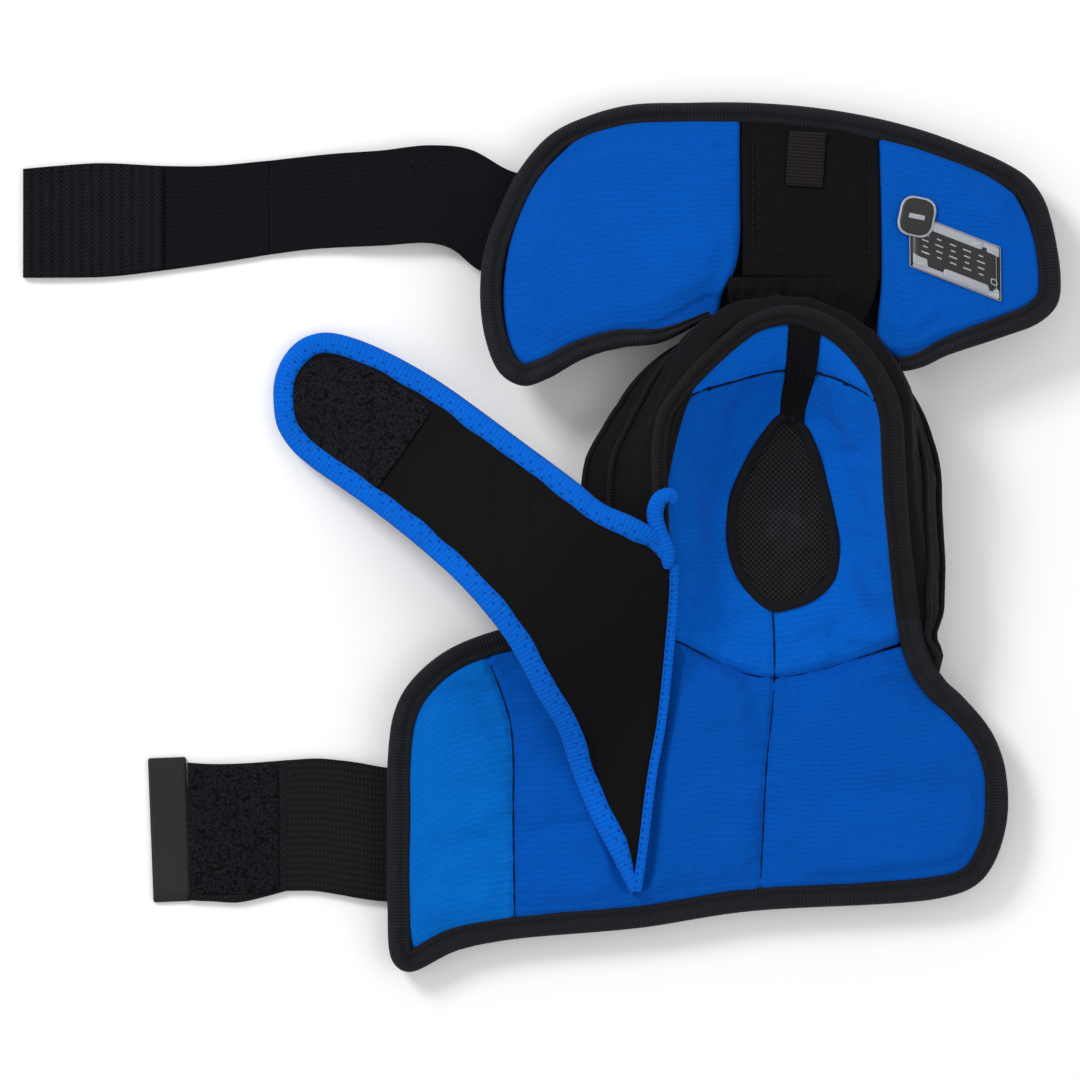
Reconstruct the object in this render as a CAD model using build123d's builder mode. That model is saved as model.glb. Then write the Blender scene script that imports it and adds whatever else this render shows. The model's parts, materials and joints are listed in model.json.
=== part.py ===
"""Senior hockey elbow pad, lying on its outer side with its soft lining up.

An elbow cup and a forearm guard share one body, a bicep guard flexes on a tongue under the
cup's arch, and three straps close the pad round the arm. +X is the wearer's outside, +Y is
up the arm and +Z is out of the lining. Every outline is drawn about the elbow point, which
is the middle of the cup.
"""
import os
from math import cos, radians, sin, tan

from build123d import *

os.makedirs("parts", exist_ok=True)

# ---------------------------------------------------------------- driving dimensions (mm)
elbow_x = 104.7            # elbow point, measured from the middle of the whole pad
elbow_y = 24.5
bicep_elastic = 50.8       # two-inch elastic
wrist_elastic = 63.5       # two-and-a-half-inch elastic
elastic_thick = 2.0
patch_thick = 1.5          # hook or loop patch
seat_height = 20.0         # top of the lining at the bottom of the cup
rim_height = 56.0          # highest point of the cup's rim
heel = 90.0                # elbow point to the seam where the forearm guard starts
liner_thick = 3.0
cap_thick = 3.0
cover_thick = 1.0
plate_thick = 2.5
forearm_foam_thick = 6.0
bicep_foam_thick = 8.0
tape_wide = 10.5           # how far edge tape reaches in from an edge
tape_thick = 1.2
seam_inset = 1.5           # tape thickness at the edge that the layers sit back from
forearm_tilt = 2.35        # the forearm guard falls towards the wrist, degrees
bicep_tilt = 9.1           # the bicep guard falls towards its top edge, degrees
bicep_hinge_y = 92.0       # flex line of the tongue, just clear of the cup's arch
bicep_hinge_z = 30.0
neoprene_thick = 3.0
fold_gap = 0.5             # gap between two pieces of strap at a fold
clearance = 0.3            # running gap between soft pieces

# ---------------------------------------------------------------- datum planes
elbow = Plane(origin=(elbow_x, elbow_y, 0))
side = Plane(origin=(elbow_x, elbow_y, 0), x_dir=(0, 1, 0), z_dir=(1, 0, 0))
forearm_thick = cover_thick + plate_thick + forearm_foam_thick + liner_thick
bicep_thick = cover_thick + plate_thick + bicep_foam_thick + liner_thick
forearm_base = Plane(
    origin=(elbow_x, elbow_y, seat_height + heel * tan(radians(forearm_tilt))),
    x_dir=(1, 0, 0),
    z_dir=(0, -sin(radians(forearm_tilt)), cos(radians(forearm_tilt))),
).offset(-forearm_thick)
bicep_base = Plane(
    origin=(elbow_x, elbow_y, bicep_hinge_z + bicep_hinge_y * tan(radians(bicep_tilt))),
    x_dir=(1, 0, 0),
    z_dir=(0, sin(radians(bicep_tilt)), cos(radians(bicep_tilt))),
).offset(-bicep_thick)

# ---------------------------------------------------------------- outlines about the elbow point
forearm_outline = [
    (-92, -62), (-123, -66), (-150, -77), (-167, -93), (-175, -112), (-177, -150),
    (-177, -196), (-176, -222), (-170, -229.5), (-145, -219), (-110, -212), (-57, -208),
    (-8, -200.5), (45, -197), (84, -194.5), (101, -188), (111, -174), (116, -152),
    (113, -126), (102, -106), (84, -84), (60, -62), (0, -56),
]
bicep_outline = [
    (-7, 182.5), (-60, 181.5), (-82, 176), (-102, 165), (-118, 145), (-128, 122), (-133, 96),
    (-130, 68), (-123, 53), (-113, 48), (-101, 51), (-85, 60), (-68, 65.5), (-50, 66),
    (0, 62), (50, 53), (68, 52), (86, 62), (112, 70.5), (130, 77), (139, 86), (140.5, 98),
    (136, 127), (125, 147), (98, 161), (54, 175),
]
wrap_outline = [
    (-57, -170), (-54.5, -148), (-52.5, -125), (-51.5, -106), (-58, -87), (-59, -60), (-57.5, -30), (-75, -8), (-104, 14.5), (-148, 47.5),
    (-185, 68), (-207, 74), (-222, 67), (-230.5, 50), (-229, 30), (-212, 10), (-180, -13),
    (-145, -42), (-123, -67), (-105, -98), (-90, -132), (-72, -171), (-63, -189), (-60, -188),
]
teardrop_outline = [(14, 33.5), (27, 16), (36, -29), (25, -52), (5, -58.5), (-14, -38), (-16, -7), (-4, 18)]
wing_seam = [(-150, -60), (-128, -84), (-119, -111), (-117, -150), (-116.5, -240)]
forearm_seam = [(6, -60), (6, -92), (2.5, -128), (-1, -188), (-2, -240)]
crest_seam = [(-90, 20), (-33, 42), (-14, 50), (9, 55), (30, 52), (52, 39), (100, 16)]

# cup sections: height, half width, reach up the arm, sideways shift
cup_outer = [
    (cap_thick, 56, 52, 0), (12, 78, 68, 0), (24, 85.5, 77, 0.5), (38, 76, 82, 3), (60, 57.3, 87, 8),
]
cup_foam = [
    (cap_thick + 1.5, 48, 49, 5), (12, 55, 62, 7), (24, 60, 72, 8), (38, 59.5, 77.5, 8), (60, 54.5, 84, 8),
]
cup_back = [
    (seat_height - liner_thick, 44, 58, 8), (30, 52.5, 69, 8), (44, 54, 75, 8), (60, 51.5, 80, 8),
]
cup_hollow = [(seat_height, 41, 55, 8), (30, 49, 65.5, 8), (44, 51, 72, 8), (60, 48.5, 76.5, 8)]

far = 260.0                # past the edge of everything, for cutting blocks
inset_steps = 72           # points that carry an inset outline round


# ---------------------------------------------------------------- shared shapes
def smooth_face(points):
    """Flat face inside a closed smooth curve through the points."""
    with BuildSketch() as shape:
        with BuildLine():
            Spline(points, periodic=True)
        make_face()
    return shape.sketch


def outline(points, inset=0.0):
    """The closed smooth outline drawn in by inset, as one even curve."""
    whole = smooth_face(points)
    if not inset:
        return whole
    edge = offset(whole, amount=-inset).faces()[0].outer_wire()
    return smooth_face([edge @ (step / inset_steps) for step in range(inset_steps)])


def beside(seam, *corners):
    """Flat face on one side of an open seam curve, closed round the far corners."""
    with BuildSketch() as shape:
        with BuildLine():
            curve = Spline(seam)
            Polyline(curve @ 1, *corners, curve @ 0)
        make_face()
    return shape.sketch


def layer(plane, low, high, shape):
    """The flat shape raised between two heights over the plane."""
    with BuildPart() as body:
        with BuildSketch(plane.offset(low)):
            add(shape)
        extrude(amount=high - low)
    return body.part


def cup(sections, grow=0.0, end=heel):
    """Trough with an arched end, lofted through its sections and open towards the wrist."""
    with BuildPart() as body:
        for height, half_width, reach, shift in sections:
            with BuildSketch(elbow.offset(height)):
                with BuildLine():
                    arch = EllipticalCenterArc((shift, 0), half_width + grow, reach + grow, arc_size=180)
                    Polyline(arch @ 1, ((arch @ 1).X, -end), ((arch @ 0).X, -end), arch @ 0)
                make_face()
        loft()
    return body.part


def above_rim(rise):
    """Block over the rim's curved line, moved up by rise, for trimming the cup."""
    with BuildPart() as body:
        with BuildSketch(side):
            with BuildLine():
                line = ThreePointArc(
                    (bicep_hinge_y + 8, rim_height - 6 + rise),
                    (20, rim_height + rise),
                    (-heel - 6, rim_height - 36 + rise),
                )
                Polyline(line @ 1, (-heel - 6, far), (bicep_hinge_y + 8, far), line @ 0)
            make_face()
        extrude(amount=far, both=True)
    return body.part


def channel(plane, thick, shape, inner, layers):
    """Edge tape folded round a flat stack: the ring between two outlines, less the layers."""
    with BuildPart() as ring:
        with BuildSketch(plane.offset(-tape_thick)):
            add(shape)
            add(inner, mode=Mode.SUBTRACT)
        extrude(amount=thick + 2 * tape_thick)
        add(layer(plane, 0, thick, layers), mode=Mode.SUBTRACT)
    return ring.part


def trimmed(body, *cutters):
    """The body with each cutter taken away."""
    with BuildPart() as result:
        add(body)
        for cutter in cutters:
            add(cutter, mode=Mode.SUBTRACT)
    return result.part


def shared(body, *others):
    """What the body has in common with all of the others."""
    with BuildPart() as result:
        add(body)
        for other in others:
            add(other, mode=Mode.INTERSECT)
    return result.part


def block(low, high):
    """Box between two corners given about the elbow point."""
    with BuildPart(elbow) as body:
        with Locations(((low[0] + high[0]) / 2, (low[1] + high[1]) / 2, (low[2] + high[2]) / 2)):
            Box(high[0] - low[0], high[1] - low[1], high[2] - low[2])
    return body.part


def save(part, name):
    """Label a finished piece and write it."""
    part.label = name
    export_step(part, f"parts/{name}.step")


# ---------------------------------------------------------------- elbow cup
over = above_rim(0)
cup_block = trimmed(cup(cup_outer), over)
foam_block = trimmed(cup(cup_foam), over)
hollow = cup(cup_hollow, end=heel + 10)
liner_shell = trimmed(cup(cup_back), hollow, over)
walls = trimmed(cup_block, cup(cup_foam, end=heel + 10))
pan_top = 9.0
step_top = 24.0
end_half = 38.0            # half width of the panel that closes the arched end
cap_half_wide = 80.0
cap_half_long = 72.0

with BuildPart() as elbow_cap:
    add(cup([(z - cap_thick, w + cap_thick, r + cap_thick, s) for z, w, r, s in cup_outer]))
    add(cup(cup_outer, end=heel + 10), mode=Mode.SUBTRACT)
    with BuildSketch(elbow):
        with Locations((0, -6)):
            Ellipse(cap_half_wide, cap_half_long)
    extrude(amount=step_top, mode=Mode.INTERSECT)
save(elbow_cap.part, "elbow_cap")

with BuildPart() as elbow_pan:
    add(walls)
    add(block((-far, -far, 0), (far, far, pan_top)), mode=Mode.INTERSECT)
save(elbow_pan.part, "elbow_pan")

with BuildPart() as elbow_end_panel:
    add(walls)
    add(block((8 - end_half, 0, pan_top), (8 + end_half, far, far)), mode=Mode.INTERSECT)
save(elbow_end_panel.part, "elbow_end_panel")

for hand, reach_in, reach_out in (("left", 8.0, -far), ("right", 8.0, far)):
    half = block((min(reach_in, reach_out), -far, 0), (max(reach_in, reach_out), far, far))
    for tier, low, high in (("lower", pan_top, step_top), ("upper", step_top, far)):
        with BuildPart() as side_panel:
            add(walls)
            add(half, mode=Mode.INTERSECT)
            add(block((-far, -far, low), (far, far, high)), mode=Mode.INTERSECT)
            add(block((8 - end_half, 0, 0), (8 + end_half, far, far)), mode=Mode.SUBTRACT)
        save(side_panel.part, f"side_panel_{tier}_{hand}")

with BuildPart() as elbow_foam:
    add(foam_block)
    add(cup(cup_back, end=heel + 10), mode=Mode.SUBTRACT)
save(elbow_foam.part, "elbow_foam")

teardrop = outline(teardrop_outline)
teardrop_hole = outline(teardrop_outline, 5.0)
teardrop_well = layer(elbow, 0, far, teardrop)
with BuildSketch() as webbing_shape:
    with BuildLine():
        Polyline((10.5, 110), (26, 110), (25.5, 54), (20.5, 20), (7.5, 20), (9, 54), close=True)
    make_face()
webbing_block = layer(elbow, 0, far, webbing_shape.sketch)
crest_block = layer(elbow, 0, far, beside(crest_seam, (100, 130), (-90, 130)))

with BuildPart() as elbow_liner:
    add(liner_shell)
    add(crest_block, mode=Mode.SUBTRACT)
    add(webbing_block, mode=Mode.SUBTRACT)
    add(teardrop_well, mode=Mode.SUBTRACT)
save(elbow_liner.part, "elbow_liner")

for hand, keep in (("left", Keep.BOTTOM), ("right", Keep.TOP)):
    with BuildPart() as crest_liner:
        add(liner_shell)
        add(crest_block, mode=Mode.INTERSECT)
        add(webbing_block, mode=Mode.SUBTRACT)
        split(bisect_by=Plane(origin=(elbow_x + 18, elbow_y, 0), z_dir=(1, 0, 0)), keep=keep)
    save(crest_liner.part, f"crest_liner_{hand}")

with BuildPart() as centre_webbing:
    add(liner_shell)
    add(webbing_block, mode=Mode.INTERSECT)
    add(teardrop_well, mode=Mode.SUBTRACT)
save(centre_webbing.part, "centre_webbing")

with BuildPart() as teardrop_tape:
    with BuildSketch(elbow.offset(seat_height - liner_thick)):
        add(teardrop)
        add(teardrop_hole, mode=Mode.SUBTRACT)
    extrude(amount=liner_thick + 1)
save(teardrop_tape.part, "teardrop_tape")

with BuildPart() as vent_mesh:
    with BuildSketch(elbow.offset(seat_height - liner_thick)):
        add(teardrop_hole)
    extrude(amount=0.8)
save(vent_mesh.part, "vent_mesh")

with BuildPart() as rim_tape:
    add(cup(cup_outer, grow=tape_thick))
    add(above_rim(tape_thick), mode=Mode.SUBTRACT)
    add(above_rim(-8), mode=Mode.INTERSECT)
    add(cup(cup_hollow, grow=-tape_thick, end=heel + 10), mode=Mode.SUBTRACT)
    add(trimmed(cup(cup_outer, end=heel + 5), hollow, over), mode=Mode.SUBTRACT)
save(rim_tape.part, "rim_tape")

# ---------------------------------------------------------------- forearm guard
cup_side = block((-87.5, -heel, -far), (88.5, far, far))
forearm_full = outline(forearm_outline)
forearm_stack = outline(forearm_outline, seam_inset)
forearm_inner = outline(forearm_outline, tape_wide)
forearm_plate_shape = outline(forearm_outline, 24)
foam_low = cover_thick
foam_high = forearm_thick - liner_thick

with BuildPart() as forearm_cover:
    add(layer(forearm_base, 0, cover_thick, forearm_stack))
    add(cup_side, mode=Mode.SUBTRACT)
save(forearm_cover.part, "forearm_cover")

with BuildPart() as forearm_plate:
    add(layer(forearm_base, foam_low, foam_low + plate_thick, forearm_plate_shape))
    add(block((-150, -heel - 8, -far), (far, far, far)), mode=Mode.SUBTRACT)
    add(block((-far, -far, -far), (-60, far, far)), mode=Mode.SUBTRACT)
save(forearm_plate.part, "forearm_plate")

with BuildPart() as forearm_foam:
    add(layer(forearm_base, foam_low, foam_high, forearm_stack))
    add(cup_side, mode=Mode.SUBTRACT)
    add(forearm_plate.part, mode=Mode.SUBTRACT)
save(forearm_foam.part, "forearm_foam")

forearm_skin = trimmed(layer(forearm_base, foam_high, forearm_thick, forearm_stack), cup_side)
wing_block = layer(elbow, -far, far, beside(wing_seam, (-far, -240), (-far, -60)))
right_block = layer(elbow, -far, far, beside(forearm_seam, (far, -240), (far, -60)))
with BuildPart() as forearm_liner_wing:
    add(forearm_skin)
    add(wing_block, mode=Mode.INTERSECT)
save(forearm_liner_wing.part, "forearm_liner_wing")

with BuildPart() as forearm_liner_left:
    add(forearm_skin)
    add(wing_block, mode=Mode.SUBTRACT)
    add(right_block, mode=Mode.SUBTRACT)
save(forearm_liner_left.part, "forearm_liner_left")

with BuildPart() as forearm_liner_right:
    add(forearm_skin)
    add(right_block, mode=Mode.INTERSECT)
save(forearm_liner_right.part, "forearm_liner_right")

with BuildPart() as forearm_tape:
    add(channel(forearm_base, forearm_thick, forearm_full, forearm_inner, forearm_stack))
    add(cup_side, mode=Mode.SUBTRACT)
save(forearm_tape.part, "forearm_tape")

# ---------------------------------------------------------------- bicep guard
bicep_full = outline(bicep_outline)
bicep_stack = outline(bicep_outline, seam_inset)
bicep_inner = outline(bicep_outline, tape_wide)
with BuildSketch() as arch_room_shape:
    with Locations((8, 0)):
        Ellipse(62.5, bicep_hinge_y - 0.4)
    with Locations((0.5, 0)):
        Ellipse(89, 81.5)
arch_room = layer(elbow, -far, far, arch_room_shape.sketch)
bicep_foam_low = cover_thick
bicep_foam_high = bicep_thick - liner_thick

with BuildPart() as bicep_cover:
    add(layer(bicep_base, 0, cover_thick, bicep_stack))
    add(arch_room, mode=Mode.SUBTRACT)
save(bicep_cover.part, "bicep_cover")

with BuildPart() as bicep_plate:
    with BuildSketch(bicep_base.offset(bicep_foam_low)):
        with Locations((0, bicep_hinge_y + 41)):
            RectangleRounded(150, 56, 20)
    extrude(amount=plate_thick)
save(bicep_plate.part, "bicep_plate")

with BuildPart() as bicep_foam:
    add(layer(bicep_base, bicep_foam_low, bicep_foam_high, bicep_stack))
    add(arch_room, mode=Mode.SUBTRACT)
    add(bicep_plate.part, mode=Mode.SUBTRACT)
save(bicep_foam.part, "bicep_foam")

bicep_skin = trimmed(layer(bicep_base, bicep_foam_high, bicep_thick, bicep_stack), arch_room)
panel_left = -10.0         # black centre panel between the two blue linings
panel_right = 55.0
panel_low = 98.0           # where the panel ends and the tongue starts
centre_block = block((panel_left, -far, -far), (panel_right, far, far))
tongue_block = block((panel_left - 9, -far, -far), (panel_right + 2, panel_low, far))

with BuildPart() as bicep_liner_left:
    add(bicep_skin)
    add(centre_block, mode=Mode.SUBTRACT)
    add(tongue_block, mode=Mode.SUBTRACT)
    split(bisect_by=Plane(origin=(elbow_x, elbow_y, 0), z_dir=(1, 0, 0)), keep=Keep.BOTTOM)
save(bicep_liner_left.part, "bicep_liner_left")

with BuildPart() as bicep_liner_right:
    add(bicep_skin)
    add(centre_block, mode=Mode.SUBTRACT)
    add(tongue_block, mode=Mode.SUBTRACT)
    split(bisect_by=Plane(origin=(elbow_x, elbow_y, 0), z_dir=(1, 0, 0)), keep=Keep.TOP)
save(bicep_liner_right.part, "bicep_liner_right")

with BuildPart() as bicep_centre_panel:
    add(bicep_skin)
    add(centre_block, mode=Mode.INTERSECT)
    add(tongue_block, mode=Mode.SUBTRACT)
save(bicep_centre_panel.part, "bicep_centre_panel")

with BuildPart() as tongue:
    add(bicep_skin)
    add(tongue_block, mode=Mode.INTERSECT)
save(tongue.part, "tongue")

with BuildPart() as tongue_root:
    add(block(
        (panel_left - 9, 0, bicep_hinge_z - liner_thick),
        (panel_right + 2, bicep_hinge_y - 0.8, bicep_hinge_z),
    ))
    add(cup(cup_outer, end=heel + 10), mode=Mode.SUBTRACT)
    with BuildSketch(elbow):
        with Locations((8, 0)):
            Ellipse(61.5, bicep_hinge_y - 1.2)
    extrude(amount=far, mode=Mode.INTERSECT)
save(tongue_root.part, "tongue_root")

with BuildPart() as bicep_tape:
    add(channel(bicep_base, bicep_thick, bicep_full, bicep_inner, bicep_stack))
    add(arch_room, mode=Mode.SUBTRACT)
save(bicep_tape.part, "bicep_tape")

with BuildPart() as ribbon_tab:
    with BuildSketch(bicep_base.offset(bicep_thick + clearance)):
        with Locations(Location((20.5, 154.5), -4)):
            Rectangle(17, 24)
    extrude(amount=0.9)
save(ribbon_tab.part, "ribbon_tab")

with BuildPart() as size_label:
    with BuildSketch(bicep_base.offset(bicep_thick)):
        with Locations(Location((90, 112), -23)):
            Rectangle(42, 24)
        with Locations(Location((72, 129), -23)):
            Rectangle(16, 16)
    extrude(amount=0.4)
save(size_label.part, "size_label")

# ---------------------------------------------------------------- bicep strap
strap_root_x = -137.0
strap_fold_x = -233.0
strap_end_x = -350.0
strap_middle = 131.0       # the strap's middle line, up the arm from the elbow point
patch_long = 64.0


def strap_section(origin, tilt, wide):
    """Cross section of a flat elastic whose top edge middle is at origin, tipped by tilt degrees."""
    across = Vector(0, cos(radians(tilt)), -sin(radians(tilt)))
    with BuildSketch(Plane(origin=origin, x_dir=across, z_dir=(1, 0, 0))) as section:
        with Locations((0, -elastic_thick / 2)):
            Rectangle(wide, elastic_thick)
    return section.sketch


def under_guard(base, x, y):
    """Point on the top face of an elastic that lies under a guard's edge tape."""
    return base.offset(-tape_thick).from_local_coords((x, y, 0))


def at_floor(x, y):
    """Point on the top face of an elastic that lies on the floor."""
    return Vector(elbow_x + x, elbow_y + y, elastic_thick)


bicep_strap_hinge = under_guard(bicep_base, strap_root_x, strap_middle)
with BuildPart() as bicep_strap_anchor:
    with BuildSketch(bicep_base.offset(-tape_thick)):
        with Locations(((strap_root_x + fold_gap - 104) / 2, strap_middle)):
            Rectangle(-104 - strap_root_x - fold_gap, bicep_elastic)
    extrude(amount=-elastic_thick)
save(bicep_strap_anchor.part, "bicep_strap_anchor")

with BuildPart() as bicep_strap_inner:
    add(strap_section(bicep_strap_hinge, bicep_tilt, bicep_elastic))
    add(strap_section(Vector(elbow_x - 166, elbow_y + 138.5, elastic_thick + 6), 4, bicep_elastic))
    add(strap_section(at_floor(strap_fold_x, 132.5), 0, bicep_elastic))
    loft()
save(bicep_strap_inner.part, "bicep_strap_inner")

with BuildPart() as bicep_strap_outer:
    add(strap_section(at_floor(strap_fold_x - fold_gap, 132.5), 0, bicep_elastic))
    add(strap_section(at_floor(-283, 127.5), 0, bicep_elastic))
    add(strap_section(at_floor(strap_end_x, 126), 0, bicep_elastic))
    loft()
save(bicep_strap_outer.part, "bicep_strap_outer")

with BuildPart() as bicep_strap_patch:
    with BuildSketch(elbow.offset(elastic_thick)):
        with Locations((strap_end_x + 2 + patch_long / 2, 126.3)):
            Rectangle(patch_long, bicep_elastic - 4)
    extrude(amount=patch_thick)
save(bicep_strap_patch.part, "bicep_strap_patch")

with BuildPart() as bicep_loop_patch:
    with BuildSketch(bicep_base):
        with Locations(Location((86, 116), -22)):
            Rectangle(42, 50)
    extrude(amount=-patch_thick)
save(bicep_loop_patch.part, "bicep_loop_patch")

# ---------------------------------------------------------------- wrist strap
wrist_root_x = -178.2
wrist_fold_x = -225.0
wrist_end_x = -271.0
wrist_tab_end = -289.0
wrist_middle = -163.5

wrist_hinge = under_guard(forearm_base, wrist_root_x, wrist_middle)
with BuildPart() as wrist_strap_anchor:
    with BuildSketch(forearm_base.offset(-tape_thick)):
        with Locations(((wrist_root_x + fold_gap - 148) / 2, wrist_middle)):
            Rectangle(-148 - wrist_root_x - fold_gap, wrist_elastic)
    extrude(amount=-elastic_thick)
save(wrist_strap_anchor.part, "wrist_strap_anchor")

with BuildPart() as wrist_strap_inner:
    add(strap_section(wrist_hinge, -forearm_tilt, wrist_elastic))
    add(strap_section(at_floor(-200, -161.5) + Vector(0, 0, 0.4), -0.5, wrist_elastic))
    add(strap_section(at_floor(wrist_fold_x, -161.5), 0, wrist_elastic))
    loft()
save(wrist_strap_inner.part, "wrist_strap_inner")

with BuildPart() as wrist_strap_outer:
    with BuildSketch(elbow):
        with Locations(((wrist_fold_x - fold_gap + wrist_end_x) / 2, -161.5)):
            Rectangle(wrist_fold_x - fold_gap - wrist_end_x, wrist_elastic)
    extrude(amount=elastic_thick)
save(wrist_strap_outer.part, "wrist_strap_outer")

with BuildPart() as wrist_strap_patch:
    with BuildSketch(elbow.offset(elastic_thick)):
        with Locations(((wrist_fold_x - 3 + wrist_end_x + 1) / 2, -161.5)):
            Rectangle(wrist_fold_x - wrist_end_x - 4, wrist_elastic - 3)
    extrude(amount=patch_thick)
save(wrist_strap_patch.part, "wrist_strap_patch")

with BuildPart() as wrist_pull_tab:
    with BuildSketch(elbow):
        with Locations(((wrist_end_x + wrist_tab_end) / 2, -161.5)):
            Rectangle(wrist_end_x - wrist_tab_end, wrist_elastic + 2)
    extrude(amount=elastic_thick + 0.6)
save(wrist_pull_tab.part, "wrist_pull_tab")

with BuildPart() as forearm_loop_patch:
    with BuildSketch(forearm_base):
        with Locations((64, -147)):
            Rectangle(44, 60)
    extrude(amount=-patch_thick)
save(forearm_loop_patch.part, "forearm_loop_patch")

# ---------------------------------------------------------------- closing wrap
wrap_turn = 139.7          # direction the wrap lies in, degrees from +X
wrap_fold = 105.0          # distance along the wrap from its sewn root to its fold
wrap_tape_wide = 9.5
wrap_thick = neoprene_thick + 2 * 0.8
wrap_side = Plane(
    origin=(elbow_x - 50, elbow_y - 100, 0),
    x_dir=(cos(radians(wrap_turn)), sin(radians(wrap_turn)), 0),
    z_dir=(sin(radians(wrap_turn)), -cos(radians(wrap_turn)), 0),
)
# height of the wrap's face along its length: flat on the guard, over the rim, down to the floor
wrap_hump = [
    (-80, 20.4), (-53, 21.2), (-25, 23.2), (0, 25.4), (14, 31.5), (32, 44), (49, 53.5), (67, 59),
    (87, 58.3), (120, 44), (160, 26), (200, 13), (225, 7.5), (250, 5.5),
]


def wrap_slab(top, bottom, start=-80.0, stop=250.0):
    """Curved slab under the wrap's face between two depths, from start to stop along the wrap."""
    with BuildPart() as slab:
        with BuildSketch(wrap_side):
            with BuildLine():
                upper = Spline([(u, z - top) for u, z in wrap_hump])
                lower = Spline([(u, z - bottom) for u, z in wrap_hump])
                Line(upper @ 0, lower @ 0)
                Line(upper @ 1, lower @ 1)
            make_face()
            with Locations(((start + stop) / 2, far / 2)):
                Rectangle(stop - start, 2 * far, mode=Mode.INTERSECT)
        extrude(amount=far, both=True)
    return slab.part


wrap_full = layer(elbow, 0, 90, outline(wrap_outline))
wrap_stack = layer(elbow, 0, 90, outline(wrap_outline, 1.2))
wrap_inside = layer(elbow, 0, 90, outline(wrap_outline, wrap_tape_wide))
hook_cut = [(-205, -31), (-179.5, 3.5), (-154, 38), (-128, 73)]
hook_block = layer(elbow, 0, 90, beside(hook_cut, (-far, 73), (-far, -31)))

for name, start, stop in (("inner", -80.0, wrap_fold - fold_gap), ("outer", wrap_fold, 250.0)):
    panel = shared(wrap_slab(0.8, 0.8 + neoprene_thick, start, stop), wrap_stack)
    save(panel, f"wrap_{name}")
    with BuildPart() as wrap_tape:
        add(wrap_slab(0, wrap_thick, start, stop))
        add(wrap_full, mode=Mode.INTERSECT)
        add(wrap_inside, mode=Mode.SUBTRACT)
        add(panel, mode=Mode.SUBTRACT)
    save(wrap_tape.part, f"wrap_tape_{name}")

with BuildPart() as wrap_hook_patch:
    add(wrap_slab(-0.8, 0.8, wrap_fold + 1, 250.0))
    add(layer(elbow, 0, 90, outline(wrap_outline, wrap_tape_wide + clearance)), mode=Mode.INTERSECT)
    add(hook_block, mode=Mode.INTERSECT)
save(wrap_hook_patch.part, "wrap_hook_patch")
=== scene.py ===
"""Hockey elbow pad with its soft lining up, in the frame of its CAD assembly.

Places are given in millimetres about the elbow point, +X to the wearer's outside and +Y up the
arm, and are put into metres when a mesh is made.
"""
import json
import math
from functools import partial

import bmesh
import bpy
import numpy as np
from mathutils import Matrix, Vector

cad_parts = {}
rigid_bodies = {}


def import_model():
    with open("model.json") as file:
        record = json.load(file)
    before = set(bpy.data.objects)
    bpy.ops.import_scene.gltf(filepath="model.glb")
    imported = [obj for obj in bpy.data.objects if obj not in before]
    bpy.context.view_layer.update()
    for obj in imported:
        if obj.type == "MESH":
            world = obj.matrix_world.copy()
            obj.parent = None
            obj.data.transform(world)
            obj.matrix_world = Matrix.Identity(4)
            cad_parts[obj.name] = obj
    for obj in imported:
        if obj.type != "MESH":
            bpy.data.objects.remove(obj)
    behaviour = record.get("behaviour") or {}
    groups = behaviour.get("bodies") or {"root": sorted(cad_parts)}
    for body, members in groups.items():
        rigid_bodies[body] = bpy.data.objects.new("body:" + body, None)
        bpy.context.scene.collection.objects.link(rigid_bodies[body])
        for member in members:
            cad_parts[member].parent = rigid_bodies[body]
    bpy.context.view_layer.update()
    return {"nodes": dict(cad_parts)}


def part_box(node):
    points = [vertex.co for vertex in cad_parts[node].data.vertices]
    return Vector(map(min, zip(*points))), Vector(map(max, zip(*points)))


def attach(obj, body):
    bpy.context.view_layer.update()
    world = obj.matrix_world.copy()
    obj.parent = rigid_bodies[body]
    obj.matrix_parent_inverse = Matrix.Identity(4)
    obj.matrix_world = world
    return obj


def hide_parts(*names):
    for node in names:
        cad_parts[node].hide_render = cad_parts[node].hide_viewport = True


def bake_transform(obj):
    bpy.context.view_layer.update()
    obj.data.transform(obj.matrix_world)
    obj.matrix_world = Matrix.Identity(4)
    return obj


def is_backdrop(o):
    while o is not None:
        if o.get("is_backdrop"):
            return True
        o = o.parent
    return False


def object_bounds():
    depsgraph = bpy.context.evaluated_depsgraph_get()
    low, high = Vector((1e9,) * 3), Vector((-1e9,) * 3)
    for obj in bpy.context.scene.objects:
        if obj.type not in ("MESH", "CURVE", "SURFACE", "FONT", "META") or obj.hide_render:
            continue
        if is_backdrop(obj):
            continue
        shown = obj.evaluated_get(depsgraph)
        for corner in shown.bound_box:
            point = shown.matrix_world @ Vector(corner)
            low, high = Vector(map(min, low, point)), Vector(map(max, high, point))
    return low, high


for spare in [o for o in bpy.data.objects if o.name in ("Cube", "Light", "Camera")]:
    bpy.data.objects.remove(spare)
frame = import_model()
cap_low, cap_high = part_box("elbow_cap")
elbow = np.array([(cap_low.x + cap_high.x) / 2, (cap_low.y + cap_high.y) / 2 + 0.006,
                  0.0])   # 6 mm up the arm

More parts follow.
